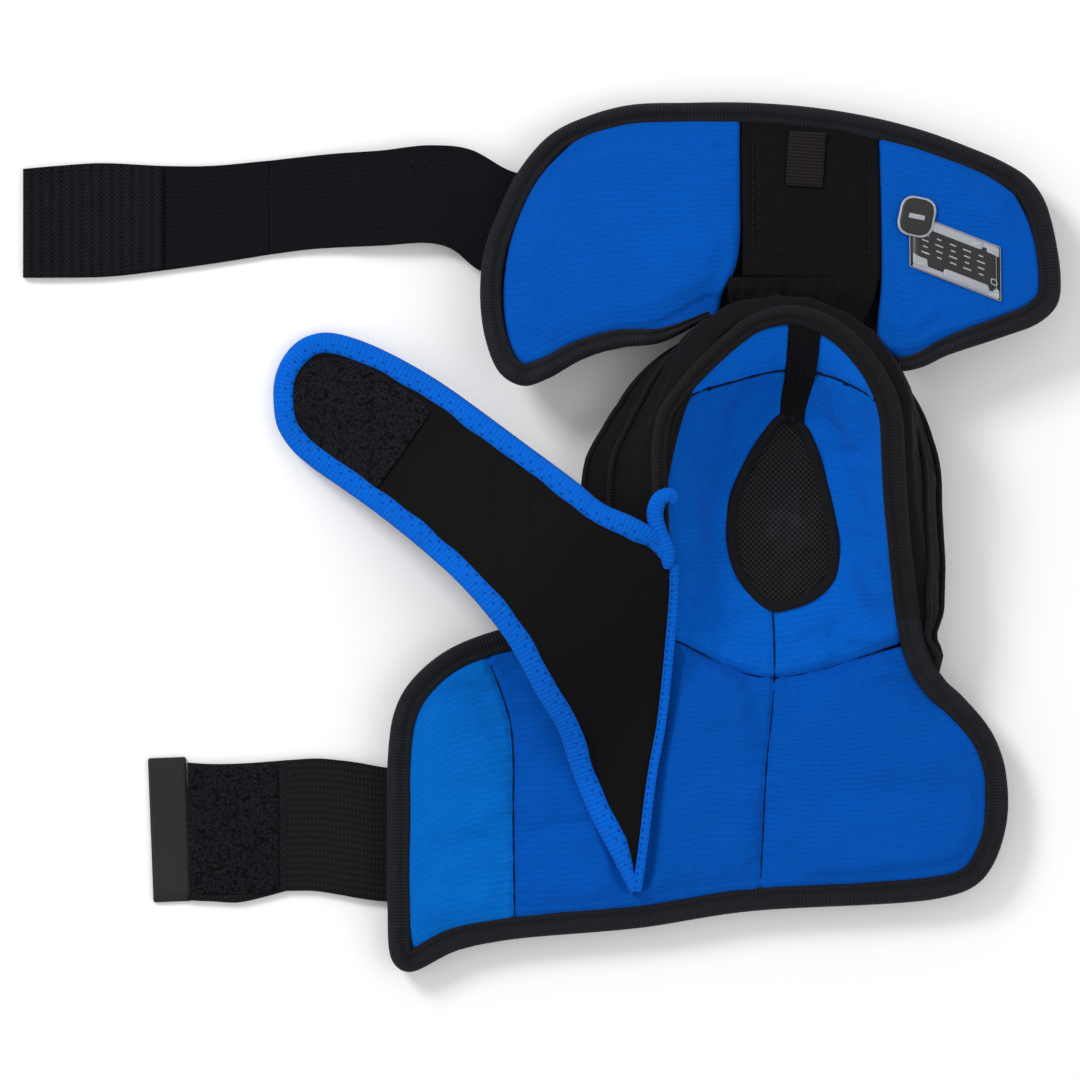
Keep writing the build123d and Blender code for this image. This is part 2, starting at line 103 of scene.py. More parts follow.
# ------------------------------------------------------------------ numbers of the object (mm)
seat = 20.0                # height of the lining at the elbow point
heel = -90.0               # where the forearm guard's plane starts
rim_end = -94.0            # where the cup's rim line ends
tape_change = -62.0        # where the cup's edge tape becomes the forearm guard's
strap_thick = 2.0
forearm_fall = math.tan(math.radians(2.35))
bicep_fall = math.tan(math.radians(9.1))
bicep_hinge = (92.0, 30.0)
forearm_thick = 12.5
bicep_thick = 14.5
wrap_foot = np.array([-50.0, -100.0])      # where lengths along the wrap start
wrap_split = 84.0                          # length at which the wrap's two bodies meet
wrap_turn = math.radians(139.7)
wrap_along = np.array([math.cos(wrap_turn), math.sin(wrap_turn)])
wrap_hump = np.array([
    (-80, 20.4), (-53, 21.2), (-25, 23.2), (0, 25.4), (14, 31.5), (32, 44), (49, 53.5), (67, 59),
    (87, 58.3), (120, 44), (160, 26), (200, 13), (225, 7.5), (250, 5.5),
])


# ------------------------------------------------------------------ lines and heights
def ease(t):
    """0 below 0, 1 above 1, and 3t^2 - 2t^3 between."""
    t = np.clip(t, 0.0, 1.0)
    return t * t * (3 - 2 * t)


def evenly(line, count):
    """The line's points respaced to count equal steps of length."""
    line = np.asarray(line, float)
    run = np.r_[0, np.cumsum(np.linalg.norm(np.diff(line, axis=0), axis=1))]
    return np.stack([np.interp(np.linspace(0, run[-1], count), run, axis) for axis in line.T], -1)


def curve(points, count, closed=False):
    """Smooth line through the points: one cubic per span, slopes from the neighbours by root distance."""
    p = np.asarray(points, float)
    ends = (p[-1:], p[:2]) if closed else (2 * p[:1] - p[1:2], 2 * p[-1:] - p[-2:-1])
    p = np.vstack([ends[0], p, ends[1]])
    a, b, c, d = p[:-3], p[1:-2], p[2:-1], p[3:]
    ka, kb, kc = (np.sqrt(np.linalg.norm(v, axis=1, keepdims=True)) + 1e-9 for v in (b - a, c - b, d - c))
    start = (c - b) + kb * ((b - a) / ka - (c - a) / (ka + kb))
    end = (c - b) + kb * ((d - c) / kc - (d - b) / (kb + kc))
    t = np.linspace(0, 1, 24, endpoint=False)[None, :, None]
    b, c, start, end = (v[:, None] for v in (b, c, start, end))
    dense = (2 * t**3 - 3 * t**2 + 1) * b + (t**3 - 2 * t**2 + t) * start
    dense = dense + (3 * t**2 - 2 * t**3) * c + (t**3 - t**2) * end
    dense = np.vstack([dense.reshape(-1, p.shape[1]), c[-1]])
    return evenly(dense, count + 1)[:-1] if closed else evenly(dense, count)


def beside(xy, line):
    """For each point: distance to a line of points, length along it, and +1 or -1 for its side."""
    xy, line = np.asarray(xy, float), np.asarray(line, float)
    a, b = line[:-1], line[1:]
    step = b - a
    t = np.einsum("nmk,mk->nm", xy[:, None] - a, step) / np.maximum((step**2).sum(1), 1e-9)
    t = np.clip(t, 0, 1)
    off = xy[:, None] - (a + t[..., None] * step)
    far = np.linalg.norm(off, axis=2)
    near = far.argmin(1)
    pick = np.arange(len(xy))
    run = np.r_[0, np.cumsum(np.linalg.norm(step, axis=1))]
    along = run[near] + t[pick, near] * (run[near + 1] - run[near])
    off, step = off[pick, near], step[near]
    side = np.where(step[:, 0] * off[:, 1] - step[:, 1] * off[:, 0] > 0, 1.0, -1.0)
    return far[pick, near], along, side


def inside(xy, loop):
    """True for points inside a closed line: the count of edges crossed by a ray is odd."""
    x, y = xy[:, :1], xy[:, 1:]
    a, b = loop, np.roll(loop, -1, axis=0)
    spans = (a[:, 1] > y) != (b[:, 1] > y)
    slope = (b[:, 0] - a[:, 0]) / np.where(b[:, 1] == a[:, 1], 1e-9, b[:, 1] - a[:, 1])
    return ((spans & (x < a[:, 0] + (y - a[:, 1]) * slope)).sum(1) % 2) == 1


def lifted(xy, z):
    """Plan places with their heights, one for all or one for each."""
    return np.concatenate([xy, np.broadcast_to(z, xy.shape[:-1])[..., None]], -1)


def shut(line):
    """The line with its first point again at its end."""
    return np.vstack([line, line[:1]])


def unit(steps):
    """The steps' directions, each of length 1."""
    return steps / np.linalg.norm(steps, axis=-1, keepdims=True)


def smoothed(values, reach):
    """Running mean over reach values to each side, the ends carried on."""
    return np.convolve(np.pad(values, reach, "edge"), np.ones(2 * reach + 1) / (2 * reach + 1), "valid")


def oval(count, half_wide, half_high, drop=0.0):
    """Section of count points round an oval: half width times cosine, half height times sine."""
    turn = np.linspace(0, 2 * math.pi, count, endpoint=False)
    return np.stack([half_wide * np.cos(turn), half_high * np.sin(turn) - drop], -1)


def waves(xy, size, seed, count=7):
    """Soft uneven ripple between -1 and 1: a sum of sines in seeded directions, each near one size."""
    rng = np.random.default_rng(seed)
    turn = rng.uniform(0, 2 * math.pi, count)
    pace = 2 * math.pi / (size * rng.uniform(0.6, 1.7, count))
    phase = rng.uniform(0, 2 * math.pi, count)
    x, y = xy[..., 0:1], xy[..., 1:2]
    return np.sin((x * np.cos(turn) + y * np.sin(turn)) * pace + phase).sum(-1) / (count * 0.6)


def rim_line(y):
    """Height of the cup's rim: the circle through its three set points, seen from the side."""
    (ay, az), (by, bz), (cy, cz) = (100.0, 50.0), (20.0, 56.0), (-96.0, 20.0)
    d = 2 * (ay * (bz - cz) + by * (cz - az) + cy * (az - bz))
    a2, b2, c2 = ay**2 + az**2, by**2 + bz**2, cy**2 + cz**2
    middle_y = (a2 * (bz - cz) + b2 * (cz - az) + c2 * (az - bz)) / d
    middle_z = (a2 * (cy - by) + b2 * (ay - cy) + c2 * (by - ay)) / d
    radius = math.hypot(ay - middle_y, az - middle_z)
    return middle_z + np.sqrt(np.maximum(radius**2 - (np.asarray(y, float) - middle_y) ** 2, 1.0))


def forearm_plane(y):
    """Height of the forearm guard's lining: flat at the heel, then falling to the wrist."""
    return seat + np.minimum(np.asarray(y, float) - heel, 0) * forearm_fall


def bicep_plane(y):
    """Height of the bicep guard's lining, falling away from the hinge line."""
    return bicep_hinge[1] - (np.asarray(y, float) - bicep_hinge[0]) * bicep_fall


def wrap_height(xy):
    """Height of the wrap's face, from its distance along the wrap."""
    u = (xy - wrap_foot) @ wrap_along
    dense = curve(wrap_hump, 200)
    return np.interp(u, dense[:, 0], dense[:, 1])


cup_left = np.array([(-52, -96), (-47, -80), (-45.5, -70), (-44.5, -40), (-45, -10), (-45, 8), (-43.5, 30),
                     (-38, 41)])
cup_arch = np.array([(-38, 41), (-31, 52), (-21, 63.5), (-6, 74.5), (8, 79), (22, 77), (33, 71), (45, 60),
                     (52.5, 46)])
cup_right = np.array([(78, -96), (68, -80), (65.5, -70), (63, -50), (59.5, -20), (58.5, 10), (57.5, 30),
                      (52.5, 46)])
cup_spine = 8.0


def lining_height(xy):
    """Height of the lining: seat level along the spine, then an eased climb to the rim where the
    distance from the spine, as a share of the way to the cup's edge, passes a half."""
    x, y = xy[..., 0], xy[..., 1]
    edge = np.vstack([cup_left, cup_arch[1:-1], cup_right[::-1]])
    bearing = np.arctan2(edge[:, 0] - cup_spine, edge[:, 1] - 5.0)
    reach = np.hypot(edge[:, 0] - cup_spine, edge[:, 1] - 5.0)
    fan = np.interp(np.arctan2(x - cup_spine, y - 5.0), bearing, reach)
    share_arch = np.hypot(x - cup_spine, y - 5.0) / fan
    left = np.interp(y, cup_left[:, 1], cup_left[:, 0])
    right = np.interp(y, cup_right[:, 1], cup_right[:, 0])
    share_leg = np.where(x < cup_spine, (cup_spine - x) / (cup_spine - left),
                         (x - cup_spine) / (right - cup_spine))
    mix = ease((y + 5.0) / 20.0)
    share = share_leg * (1 - mix) + share_arch * mix
    climb = ease((share - 0.42) / 0.66) ** 1.15
    beyond = ease((share - 1.25) / 0.5) * (y < -60)
    base = forearm_plane(y)
    return base + np.maximum(rim_line(y) - 1.2 - base, 0) * climb * (1 - beyond)


def on_lining(xy, lift=0.0):
    """Points on the lining at a lift above it."""
    return lifted(xy, lining_height(xy) + lift)


# ------------------------------------------------------------------ meshes
def patch(bottom, right, top, left, rows, cols):
    """Four-sided grid: the blend of bottom and top, plus that of left and right, less that of the
    four corners. Sides run left to right and bottom to top."""
    bottom, top = (curve(side, cols)[None] for side in (bottom, top))
    left, right = (curve(side, rows)[:, None] for side in (left, right))
    u, v = np.linspace(0, 1, cols)[None, :, None], np.linspace(0, 1, rows)[:, None, None]
    low_corners = (1 - u) * bottom[:, :1] + u * bottom[:, -1:]
    high_corners = (1 - u) * top[:, :1] + u * top[:, -1:]
    corners = (1 - v) * low_corners + v * high_corners
    return (1 - v) * bottom + v * top + (1 - u) * left + u * right - corners


def fold_over(top, bottom):
    """Rows of closed loops: each runs along the top sheet and back along the bottom one."""
    return np.concatenate([top, bottom[:, ::-1]], axis=1)


def under(top, depth):
    """The sheet set down by a depth."""
    return top - np.array([0, 0, 1.0]) * np.broadcast_to(depth, top.shape[:2])[..., None]


def carry(line, section, out=None):
    """Loops of a section carried along a line: each point is the line's point, plus a times the
    level direction to the line's right, plus b straight up, for the section's (a, b)."""
    if out is None:
        ahead = np.gradient(line[:, :2], axis=0)
        if np.linalg.norm(line[0] - line[-1]) < 8:
            ahead[0] = line[1, :2] - line[-1, :2]
            ahead[-1] = line[0, :2] - line[-2, :2]
        ahead = unit(ahead)
        out = np.stack([ahead[:, 1], -ahead[:, 0], np.zeros(len(ahead))], -1)
    section = np.asarray(section, float)
    if section.ndim == 2:
        section = np.broadcast_to(section, (len(line),) + section.shape)
    rise = section[..., 1:2] * np.array([0, 0, 1.0])
    return line[:, None] + out[:, None] * section[..., 0:1] + rise


def mesh_piece(name, points, quads, corners, looks):
    """Object from arrays of points, four-cornered faces and their corners' pattern coordinates."""
    mesh = bpy.data.meshes.new(name)
    mesh.vertices.add(len(points))
    mesh.vertices.foreach_set("co", (elbow + points / 1000.0).astype(np.float32).ravel())
    mesh.loops.add(quads.size)
    mesh.loops.foreach_set("vertex_index", quads.astype(np.int32).ravel())
    mesh.polygons.add(len(quads))
    mesh.polygons.foreach_set("loop_start", np.arange(0, quads.size, 4, dtype=np.int32))
    mesh.uv_layers.new(name="pattern").data.foreach_set("uv", corners.astype(np.float32).ravel())
    mesh.update(calc_edges=True)
    shell = bmesh.new()
    shell.from_mesh(mesh)
    bmesh.ops.remove_doubles(shell, verts=shell.verts, dist=1e-6)
    bmesh.ops.dissolve_degenerate(shell, edges=shell.edges, dist=1e-7)
    bmesh.ops.recalc_face_normals(shell, faces=shell.faces)
    shell.to_mesh(mesh)
    shell.free()
    mesh.polygons.foreach_set("use_smooth", np.ones(len(mesh.polygons), bool))
    for look in looks if isinstance(looks, (list, tuple)) else [looks]:
        mesh.materials.append(look)
    piece = bpy.data.objects.new(name, mesh)
    bpy.context.scene.collection.objects.link(piece)
    return piece


def loops_piece(name, loops, looks, closed=False):
    """Closed piece from rows of closed loops. Ends are shut by a ladder of faces across the loop,
    and the pattern runs by length along the rows and round the loops, in metres."""
    rows, cols = loops.shape[:2]
    down = np.arange(rows if closed else rows - 1)[:, None]
    across = np.arange(cols)[None, :]
    down, across = np.broadcast_arrays(down, across)
    steps = np.linalg.norm(np.diff(loops, axis=0, append=loops[:1]), axis=2).max(1) / 1000
    girth = np.linalg.norm(np.diff(loops, axis=1, append=loops[:, :1]), axis=2).mean(0) / 1000
    run, round_ = np.r_[0, np.cumsum(steps)], np.r_[0, np.cumsum(girth)]
    cell = [(0, 0), (0, 1), (1, 1), (1, 0)]
    quads = np.stack([((down + i) % rows) * cols + (across + j) % cols for i, j in cell], -1).reshape(-1, 4)
    corners = np.stack([np.stack([run[down + i], round_[across + j]], -1) for i, j in cell],
                       -2).reshape(-1, 4, 2)
    if not closed:
        rung = np.arange(cols // 2 - 1)
        ladder = np.stack([rung, rung + 1, cols - 2 - rung, cols - 1 - rung], -1)
        quads = np.concatenate([quads, ladder, (rows - 1) * cols + ladder])
        flat = np.stack([round_[ladder], np.broadcast_to([0, 0, 0.002, 0.002], ladder.shape)], -1)
        corners = np.concatenate([corners, flat, flat])
    return mesh_piece(name, loops.reshape(-1, 3), quads, corners, looks)


def read(piece):
    """The piece's points in millimetres about the elbow point."""
    co = np.empty(len(piece.data.vertices) * 3, np.float32)
    piece.data.vertices.foreach_get("co", co)
    return (co.reshape(-1, 3).astype(float) - elbow) * 1000


def write(piece, points):
    """Puts the points back into the piece."""
    piece.data.vertices.foreach_set("co", (elbow + points / 1000).astype(np.float32).ravel())
    piece.data.update()


def refine(piece, levels):
    """Applies a subdivision surface."""
    rounding = piece.modifiers.new("rounding", "SUBSURF")
    rounding.levels = rounding.render_levels = levels
    rounding.boundary_smooth = "PRESERVE_CORNERS"
    bpy.context.view_layer.update()
    ready = piece.evaluated_get(bpy.context.evaluated_depsgraph_get())
    mesh = bpy.data.meshes.new_from_object(ready)
    piece.modifiers.clear()
    old = piece.data
    piece.data = mesh
    mesh.name = old.name
    bpy.data.meshes.remove(old)
    return piece


def groove(points, line, depth, wide, pucker=0.35, pitch=7.0, seed=1):
    """Presses a sewn seam into the points: down by depth times e^-(d/wide)^2, with small puckers
    that run out from the seam and fade over four widths."""
    d, along, side = beside(points[:, :2], line)
    points[:, 2] -= depth * np.exp(-((d / wide) ** 2))
    wobble = np.sin(along * 2 * math.pi / pitch + 1.7 * np.sin(along / 11.0 + seed) + side)
    points[:, 2] += pucker * wobble * np.exp(-(((d - 2.2 * wide) / (1.6 * wide)) ** 2))
    return points


def paint(piece, rule):
    """Gives a face the second material where the rule on its centre is true."""
    centre = np.empty(len(piece.data.polygons) * 3, np.float32)
    piece.data.polygons.foreach_get("center", centre)
    centre = (centre.reshape(-1, 3) - elbow) * 1000
    piece.data.polygons.foreach_set("material_index", rule(centre).astype(np.int32))


def mark(piece, name, values):
    """Stores a number for each point under a name that materials read."""
    layer = piece.data.attributes.new(name, "FLOAT", "POINT")
    layer.data.foreach_set("value", np.asarray(values, np.float32))


def fit(piece, body, slot, *nodes):
    """Rides a body and stands for the CAD nodes. slot is not used."""
    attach(piece, body)
    if nodes:
        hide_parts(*nodes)
    return piece


def fit_bend(piece, first, second, start, end, slot, *nodes):
    """Bakes the piece's place into its mesh and stands for the CAD nodes; the piece rides no body and does
    not bend.
    """
    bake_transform(piece)
    if nodes:
        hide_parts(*nodes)
    return piece


def stitches(name, line, look, long=2.6, gap=1.4, thick=0.35, row=None):
    """Row of thread bars along a line: each bar is five rings of six points, radius by a half sine,
    its ends dipping into the cloth. row gives side offsets that the bars alternate between."""
    run = np.linalg.norm(np.diff(line, axis=0), axis=1).sum()
    count = max(int(run / (long + gap)), 2)
    spaced = evenly(line, 2 * count + 1)
    middle = spaced[1::2]
    ahead = unit(spaced[2::2] - spaced[:-2:2])
    right = unit(np.cross(ahead, (0, 0, 1.0)))
    lift = np.cross(right, ahead)
    if row is not None:
        middle = middle + right * np.array([row[i % len(row)] for i in range(count)])[:, None]
    t = np.linspace(-1, 1, 5)
    radius = thick * np.array([0.45, 0.9, 1.0, 0.9, 0.45])
    turn = np.arange(6) * math.pi / 3
    ring = middle[:, None, None] + ahead[:, None, None] * (t * long / 2)[None, :, None, None]
    ring = ring + right[:, None, None] * (radius[:, None] * np.cos(turn))[None, :, :, None]
    ring = ring + lift[:, None, None] * (radius[:, None] * np.sin(turn) - 1.1 * thick
                                         * t[:, None] ** 4)[None, :, :, None]
    i, j = np.meshgrid(np.arange(4), np.arange(6), indexing="ij")
    cell = np.stack([i * 6 + j, i * 6 + (j + 1) % 6, (i + 1) * 6 + (j + 1) % 6, (i + 1) * 6 + j],
                    -1).reshape(-1, 4)
    ends = np.array([[0, 1, 4, 5], [1, 2, 3, 4], [24, 25, 28, 29], [25, 26, 27, 28]])
    cell = np.concatenate([cell, ends])
    quads = (cell[None] + 30 * np.arange(count)[:, None, None]).reshape(-1, 4)
    corners = np.zeros((len(quads), 4, 2))
    return mesh_piece(name, ring.reshape(-1, 3), quads, corners, look)


# ------------------------------------------------------------------ finishes
def tint(red, green, blue):
    """Colour from its everyday 0 to 255 numbers, made linear."""
    share = np.array([red, green, blue]) / 255
    flat = np.where(share <= 0.04045, share / 12.92, ((share + 0.055) / 1.055) ** 2.4)
    return (*(float(v) for v in flat), 1.0)


def wire(tree, kind, inputs=(), **settings):
    """Adds a node, sets its options, and feeds its sockets from values or other nodes' outputs."""
    made = tree.nodes.new(kind)
    for key, value in settings.items():
        setattr(made, key, value)
    for key, value in dict(inputs).items():
        if isinstance(value, bpy.types.NodeSocket):
            tree.links.new(value, made.inputs[key])
        else:
            made.inputs[key].default_value = value
    return made


def sums(tree, operation, *values):
    """One sum or function of numbers, as a Math node's output."""
    return wire(tree, "ShaderNodeMath", enumerate(values), operation=operation).outputs[0]


def shared_effect(name, inputs, outputs):
    """Empty node group with its named inputs (and starting values) and outputs."""
    tree = bpy.data.node_groups.new(name, "ShaderNodeTree")
    for label, kind, value in inputs:
        socket = tree.interface.new_socket(label, in_out="INPUT", socket_type=kind)
        if value is not None:
            socket.default_value = value
    for label, kind in outputs:
        tree.interface.new_socket(label, in_out="OUTPUT", socket_type=kind)
    return tree, tree.nodes.new("NodeGroupInput").outputs, tree.nodes.new("NodeGroupOutput").inputs


def makers(tree):
    """sums and wire for one tree."""
    return partial(sums, tree), partial(wire, tree)


number, colour, place = "NodeSocketFloat", "NodeSocketColor", "NodeSocketVector"


def make_ribs():
    """Ribs across a tape: a sine along its length, broken by fine noise."""
    tree, got, gives = shared_effect(
        "tape ribs", [("Pattern", place, None), ("Ribs", number, 700.0), ("Cross", number, 1500.0)],
        [("Height", number)])
    calc, node = makers(tree)
    part = node("ShaderNodeSeparateXYZ", {0: got["Pattern"]}).outputs
    haze = node("ShaderNodeTexNoise", {"Vector": got["Pattern"], "Scale": 260.0, "Detail": 2.0}).outputs[0]
    turn = calc("MULTIPLY", part[0], got["Ribs"], 0)
    turn = calc("MULTIPLY_ADD", haze, 0.45, turn)
    rib = calc("SINE", calc("MULTIPLY", turn, 2 * math.pi))
    yarn = calc("SINE", calc("MULTIPLY", calc("MULTIPLY", part[1], got["Cross"]), 2 * math.pi))
    tree.links.new(calc("MULTIPLY_ADD", yarn, 0.18, calc("MULTIPLY_ADD", rib, 0.38, 0.5)), gives["Height"])
    return tree


def make_knit():
    """Knitted loops: columns as a folded sine, rows leaning one way then the other between columns."""
    tree, got, gives = shared_effect(
        "knit loops", [("Pattern", place, None), ("Columns", number, 620.0), ("Rows", number, 700.0),
                       ("Lean", number, 0.6), ("Waver", number, 0.8)],
        [("Height", number)])
    calc, node = makers(tree)
    part = node("ShaderNodeSeparateXYZ", {0: got["Pattern"]}).outputs
    haze = node("ShaderNodeTexNoise", {"Vector": got["Pattern"], "Scale": 95.0, "Detail": 3.0}).outputs[0]
    column = calc("MULTIPLY", part[0], got["Columns"])
    column = calc("MULTIPLY_ADD", haze, got["Waver"], column)
    zig = calc("PINGPONG", column, 0.5)
    row = calc("MULTIPLY_ADD", zig, got["Lean"], calc("MULTIPLY", part[1], got["Rows"]))
    row = calc("MULTIPLY_ADD", haze, got["Waver"], row)
    row = calc("SINE", calc("MULTIPLY", row, 2 * math.pi))
    column = calc("ABSOLUTE", calc("SINE", calc("MULTIPLY", column, math.pi)))
    tree.links.new(calc("MULTIPLY_ADD", row, 0.3, calc("MULTIPLY_ADD", column, 0.4, 0.3)), gives["Height"])
    return tree


def make_weave():
    """Plain weave: the product of two sines, a square of warp on top then a square of weft."""
    tree, got, gives = shared_effect(
        "plain weave", [("Pattern", place, None), ("Threads", number, 900.0)],
        [("Height", number), ("Gap", number)])
    calc, node = makers(tree)
    part = node("ShaderNodeSeparateXYZ", {0: got["Pattern"]}).outputs
    along, across = (
        calc("SINE", calc("MULTIPLY", calc("MULTIPLY", part[i], got["Threads"]), math.pi))
        for i in (0, 1))
    tree.links.new(calc("MULTIPLY_ADD", calc("MULTIPLY", along, across), 0.45, 0.5), gives["Height"])
    gap = calc("MULTIPLY", calc("ABSOLUTE", along), calc("ABSOLUTE", across))
    tree.links.new(calc("LESS_THAN", gap, 0.22), gives["Gap"])
    return tree


def make_pile():
    """Hooks and fuzz: small cells under fine noise."""
    tree, got, gives = shared_effect(
        "hook pile", [("Pattern", place, None), ("Hooks", number, 900.0)], [("Height", number)])
    calc, node = makers(tree)
    cell = node("ShaderNodeTexVoronoi", {"Vector": got["Pattern"],
                                         "Scale": got["Hooks"]}).outputs["Distance"]
    fuzz = node("ShaderNodeTexNoise", {"Vector": got["Pattern"], "Scale": 1600.0, "Detail": 4.0}).outputs[0]
    tree.links.new(calc("MULTIPLY_ADD", fuzz, 0.6, calc("MULTIPLY_ADD", cell, -0.5, 0.5)), gives["Height"])
    return tree


def make_shading():
    """Colour of cloth in use: its own colour clouded by broad and fine noise, darker in the low of the
    weave as painted shade, lighter or darker by a point attribute of rubbing and painted light, and flecked
    with lint."""
    tree, got, gives = shared_effect(
        "cloth colour", [("Place", place, None), ("Colour", colour, (0.5, 0.5, 0.5, 1)),
                         ("Weave", number, 0.5),
                         ("Depth", number, 0.4), ("Cloud", number, 0.25), ("Rub", number, 0.0),
                         ("Lint", number, 0.2)],
        [("Colour", colour), ("Roughness", number)])
    calc, node = makers(tree)
    broad = node("ShaderNodeTexNoise", {"Vector": got["Place"], "Scale": 22.0, "Detail": 3.0}).outputs[0]
    fine = node("ShaderNodeTexNoise", {"Vector": got["Place"], "Scale": 420.0, "Detail": 3.0}).outputs[0]
    cloud = calc("ADD", calc("SUBTRACT", broad, 0.5), calc("MULTIPLY", calc("SUBTRACT", fine, 0.5), 0.8))
    light = calc("MULTIPLY_ADD", cloud, got["Cloud"], 1.0)
    # painted shade: the colour is darkened in the low of the weave
    low = calc("MULTIPLY", calc("SUBTRACT", got["Weave"], 0.5), got["Depth"])
    light = calc("ADD", light, low)
    # rubbing and painted light from a point attribute lighten or darken the colour
    light = calc("MULTIPLY_ADD", got["Rub"], 0.5, light)
    lit = node("ShaderNodeHueSaturation", {"Color": got["Colour"], "Value": light}).outputs[0]
    speck = node("ShaderNodeTexVoronoi", {"Vector": got["Place"], "Scale": 300.0,
                                          "Randomness": 1.0}).outputs["Distance"]
    chance = node("ShaderNodeTexNoise", {"Vector": got["Place"], "Scale": 70.0}).outputs[0]
    fleck = calc("MULTIPLY", calc("LESS_THAN", speck, 0.07), calc("GREATER_THAN", chance, 0.6))
    fleck = calc("MULTIPLY", fleck, got["Lint"])
    done = node("ShaderNodeMix", {0: fleck, 6: lit, 7: (0.45, 0.47, 0.5, 1)}, data_type="RGBA").outputs[2]
    tree.links.new(done, gives["Colour"])
    tree.links.new(calc("MULTIPLY_ADD", cloud, 0.25, 0.82), gives["Roughness"])
    return tree


tape_ribs, knit_loops, plain_weave, hook_pile, cloth_colour = (
    make_ribs(), make_knit(), make_weave(), make_pile(), make_shading())


def finish(name, shade, effect, feeds, depth=0.35, relief=0.25, cloud=0.3, lint=0.05, sheen=0.02,
           on_uv=True, specular=0.07, rubbing_and_light=False, bite=0.0004, crease=0.0):
    """Cloth or tape finish: one weave effect drives its colour, its lows darkened by depth as painted
    shade, and its bump; sheen and gloss are set on the shader. Creases are a broader bump of stretched
    noise. A point attribute of rubbing and painted light can lighten or darken the colour."""
    look = bpy.data.materials.new(name)
    look.use_nodes = True
    tree = look.node_tree
    shader = tree.nodes["Principled BSDF"]
    node = partial(wire, tree)
    where = node("ShaderNodeTexCoord").outputs
    pattern = node("ShaderNodeUVMap", uv_map="pattern").outputs[0] if on_uv else where["Object"]
    weave = node("ShaderNodeGroup", node_tree=effect)
    tree.links.new(pattern, weave.inputs["Pattern"])
    for key, value in feeds.items():
        weave.inputs[key].default_value = value
    tone = node("ShaderNodeGroup", node_tree=cloth_colour)
    tree.links.new(where["Object"], tone.inputs["Place"])
    tree.links.new(weave.outputs["Height"], tone.inputs["Weave"])
    for key, value in (("Colour", shade), ("Depth", depth), ("Cloud", cloud), ("Lint", lint)):
        tone.inputs[key].default_value = value
    # the point attribute holds rubbing and painted light, which lighten or darken the colour
    if rubbing_and_light:
        worn = node("ShaderNodeAttribute", attribute_name="worn").outputs["Fac"]
        tree.links.new(worn, tone.inputs["Rub"])
    tree.links.new(tone.outputs["Colour"], shader.inputs["Base Color"])
    tree.links.new(tone.outputs["Roughness"], shader.inputs["Roughness"])
    bump = node("ShaderNodeBump", {"Strength": relief, "Distance": bite, "Height": weave.outputs["Height"]})
    if crease:
        soft = node("ShaderNodeTexNoise", {"Vector": where["Object"], "Scale": 55.0, "Detail": 4.0,
                                           "Distortion": 0.8})
        fold = node("ShaderNodeBump", {"Strength": crease, "Distance": 0.004, "Height": soft.outputs[0]})
        tree.links.new(fold.outputs[0], bump.inputs["Normal"])
    tree.links.new(bump.outputs[0], shader.inputs["Normal"])
    shader.inputs["Sheen Weight"].default_value = sheen
    shader.inputs["Sheen Roughness"].default_value = 0.5
    shader.inputs["Specular IOR Level"].default_value = specular
    return look


# One blue jersey in lit and shaded copies: the crest and wing tints are lighter as painted light on parts
# facing the lamp, the forearm tint is darker as painted shade, and the elbow tint is raised to offset the
# shade in the cup.
lining_elbow_painted_light, lining_forearm_painted_shade, lining_wing_painted_lit, lining_bicep, lining_crest_painted_lit = (
    finish(f"lining, {name}", tint(*shade), knit_loops,
           {"Columns": 330.0, "Rows": 760.0, "Lean": 0.9, "Waver": 0.9},
           depth=0.26, relief=0.6, cloud=0.24, lint=0.02, sheen=0.015, specular=0.03, crease=0.15)
    for name, shade in (("elbow", (4, 88, 185)), ("forearm", (3, 77, 168)), ("wing", (3, 98, 186)),
                        ("bicep", (3, 78, 170)), ("crest", (5, 98, 204))))
edge_black, arch_black = (
    finish(f"edge tape, {name}", tint(*shade), tape_ribs, {"Ribs": 620.0, "Cross": 900.0}, relief=0.8,
           depth=0.8,
           cloud=0.6, rubbing_and_light=True, bite=0.0006, crease=0.15, specular=0.16)
    for name, shade in (("guards", (22, 23, 28)), ("arch", (17, 17, 21))))
side_cloth = finish("side panel cloth", tint(9, 9, 12), plain_weave, {"Threads": 1500.0}, relief=0.5,
                    depth=0.5,
                    cloud=0.8, crease=0.6, specular=0.12)
cover_cloth = finish("outer cover cloth", tint(19, 20, 23), plain_weave, {"Threads": 1100.0}, relief=0.8,
                     depth=0.6,
                     cloud=0.5, crease=0.3, specular=0.2)
centre_cloth = finish("centre panel cloth", tint(12, 12, 14), knit_loops, {"Columns": 420.0, "Rows": 620.0},
                      relief=0.5, depth=0.5, cloud=0.6, crease=0.35)
wrap_face = finish("wrap face", tint(14, 13, 14), knit_loops,
                   {"Columns": 700.0, "Rows": 800.0, "Waver": 0.4},
                   relief=0.3, depth=0.3, cloud=0.35, crease=0.2)
wrap_edge = finish("wrap edge tape", tint(6, 92, 196), tape_ribs, {"Ribs": 420.0, "Cross": 700.0},
                   relief=0.5,
                   depth=0.25, cloud=0.25, lint=0.0, bite=0.0005, specular=0.03)
band = finish("strap elastic", tint(14, 13, 18), knit_loops,
              {"Columns": 900.0, "Rows": 420.0, "Lean": 0.5, "Waver": 0.15},
              relief=0.5, depth=0.6, cloud=0.4, lint=0.08)
band_wide = finish("wrist elastic", tint(23, 23, 26), knit_loops,
                   {"Columns": 520.0, "Rows": 330.0, "Lean": 1.0, "Waver": 0.15},
                   relief=0.9, depth=1.0, cloud=0.5, lint=0.08)
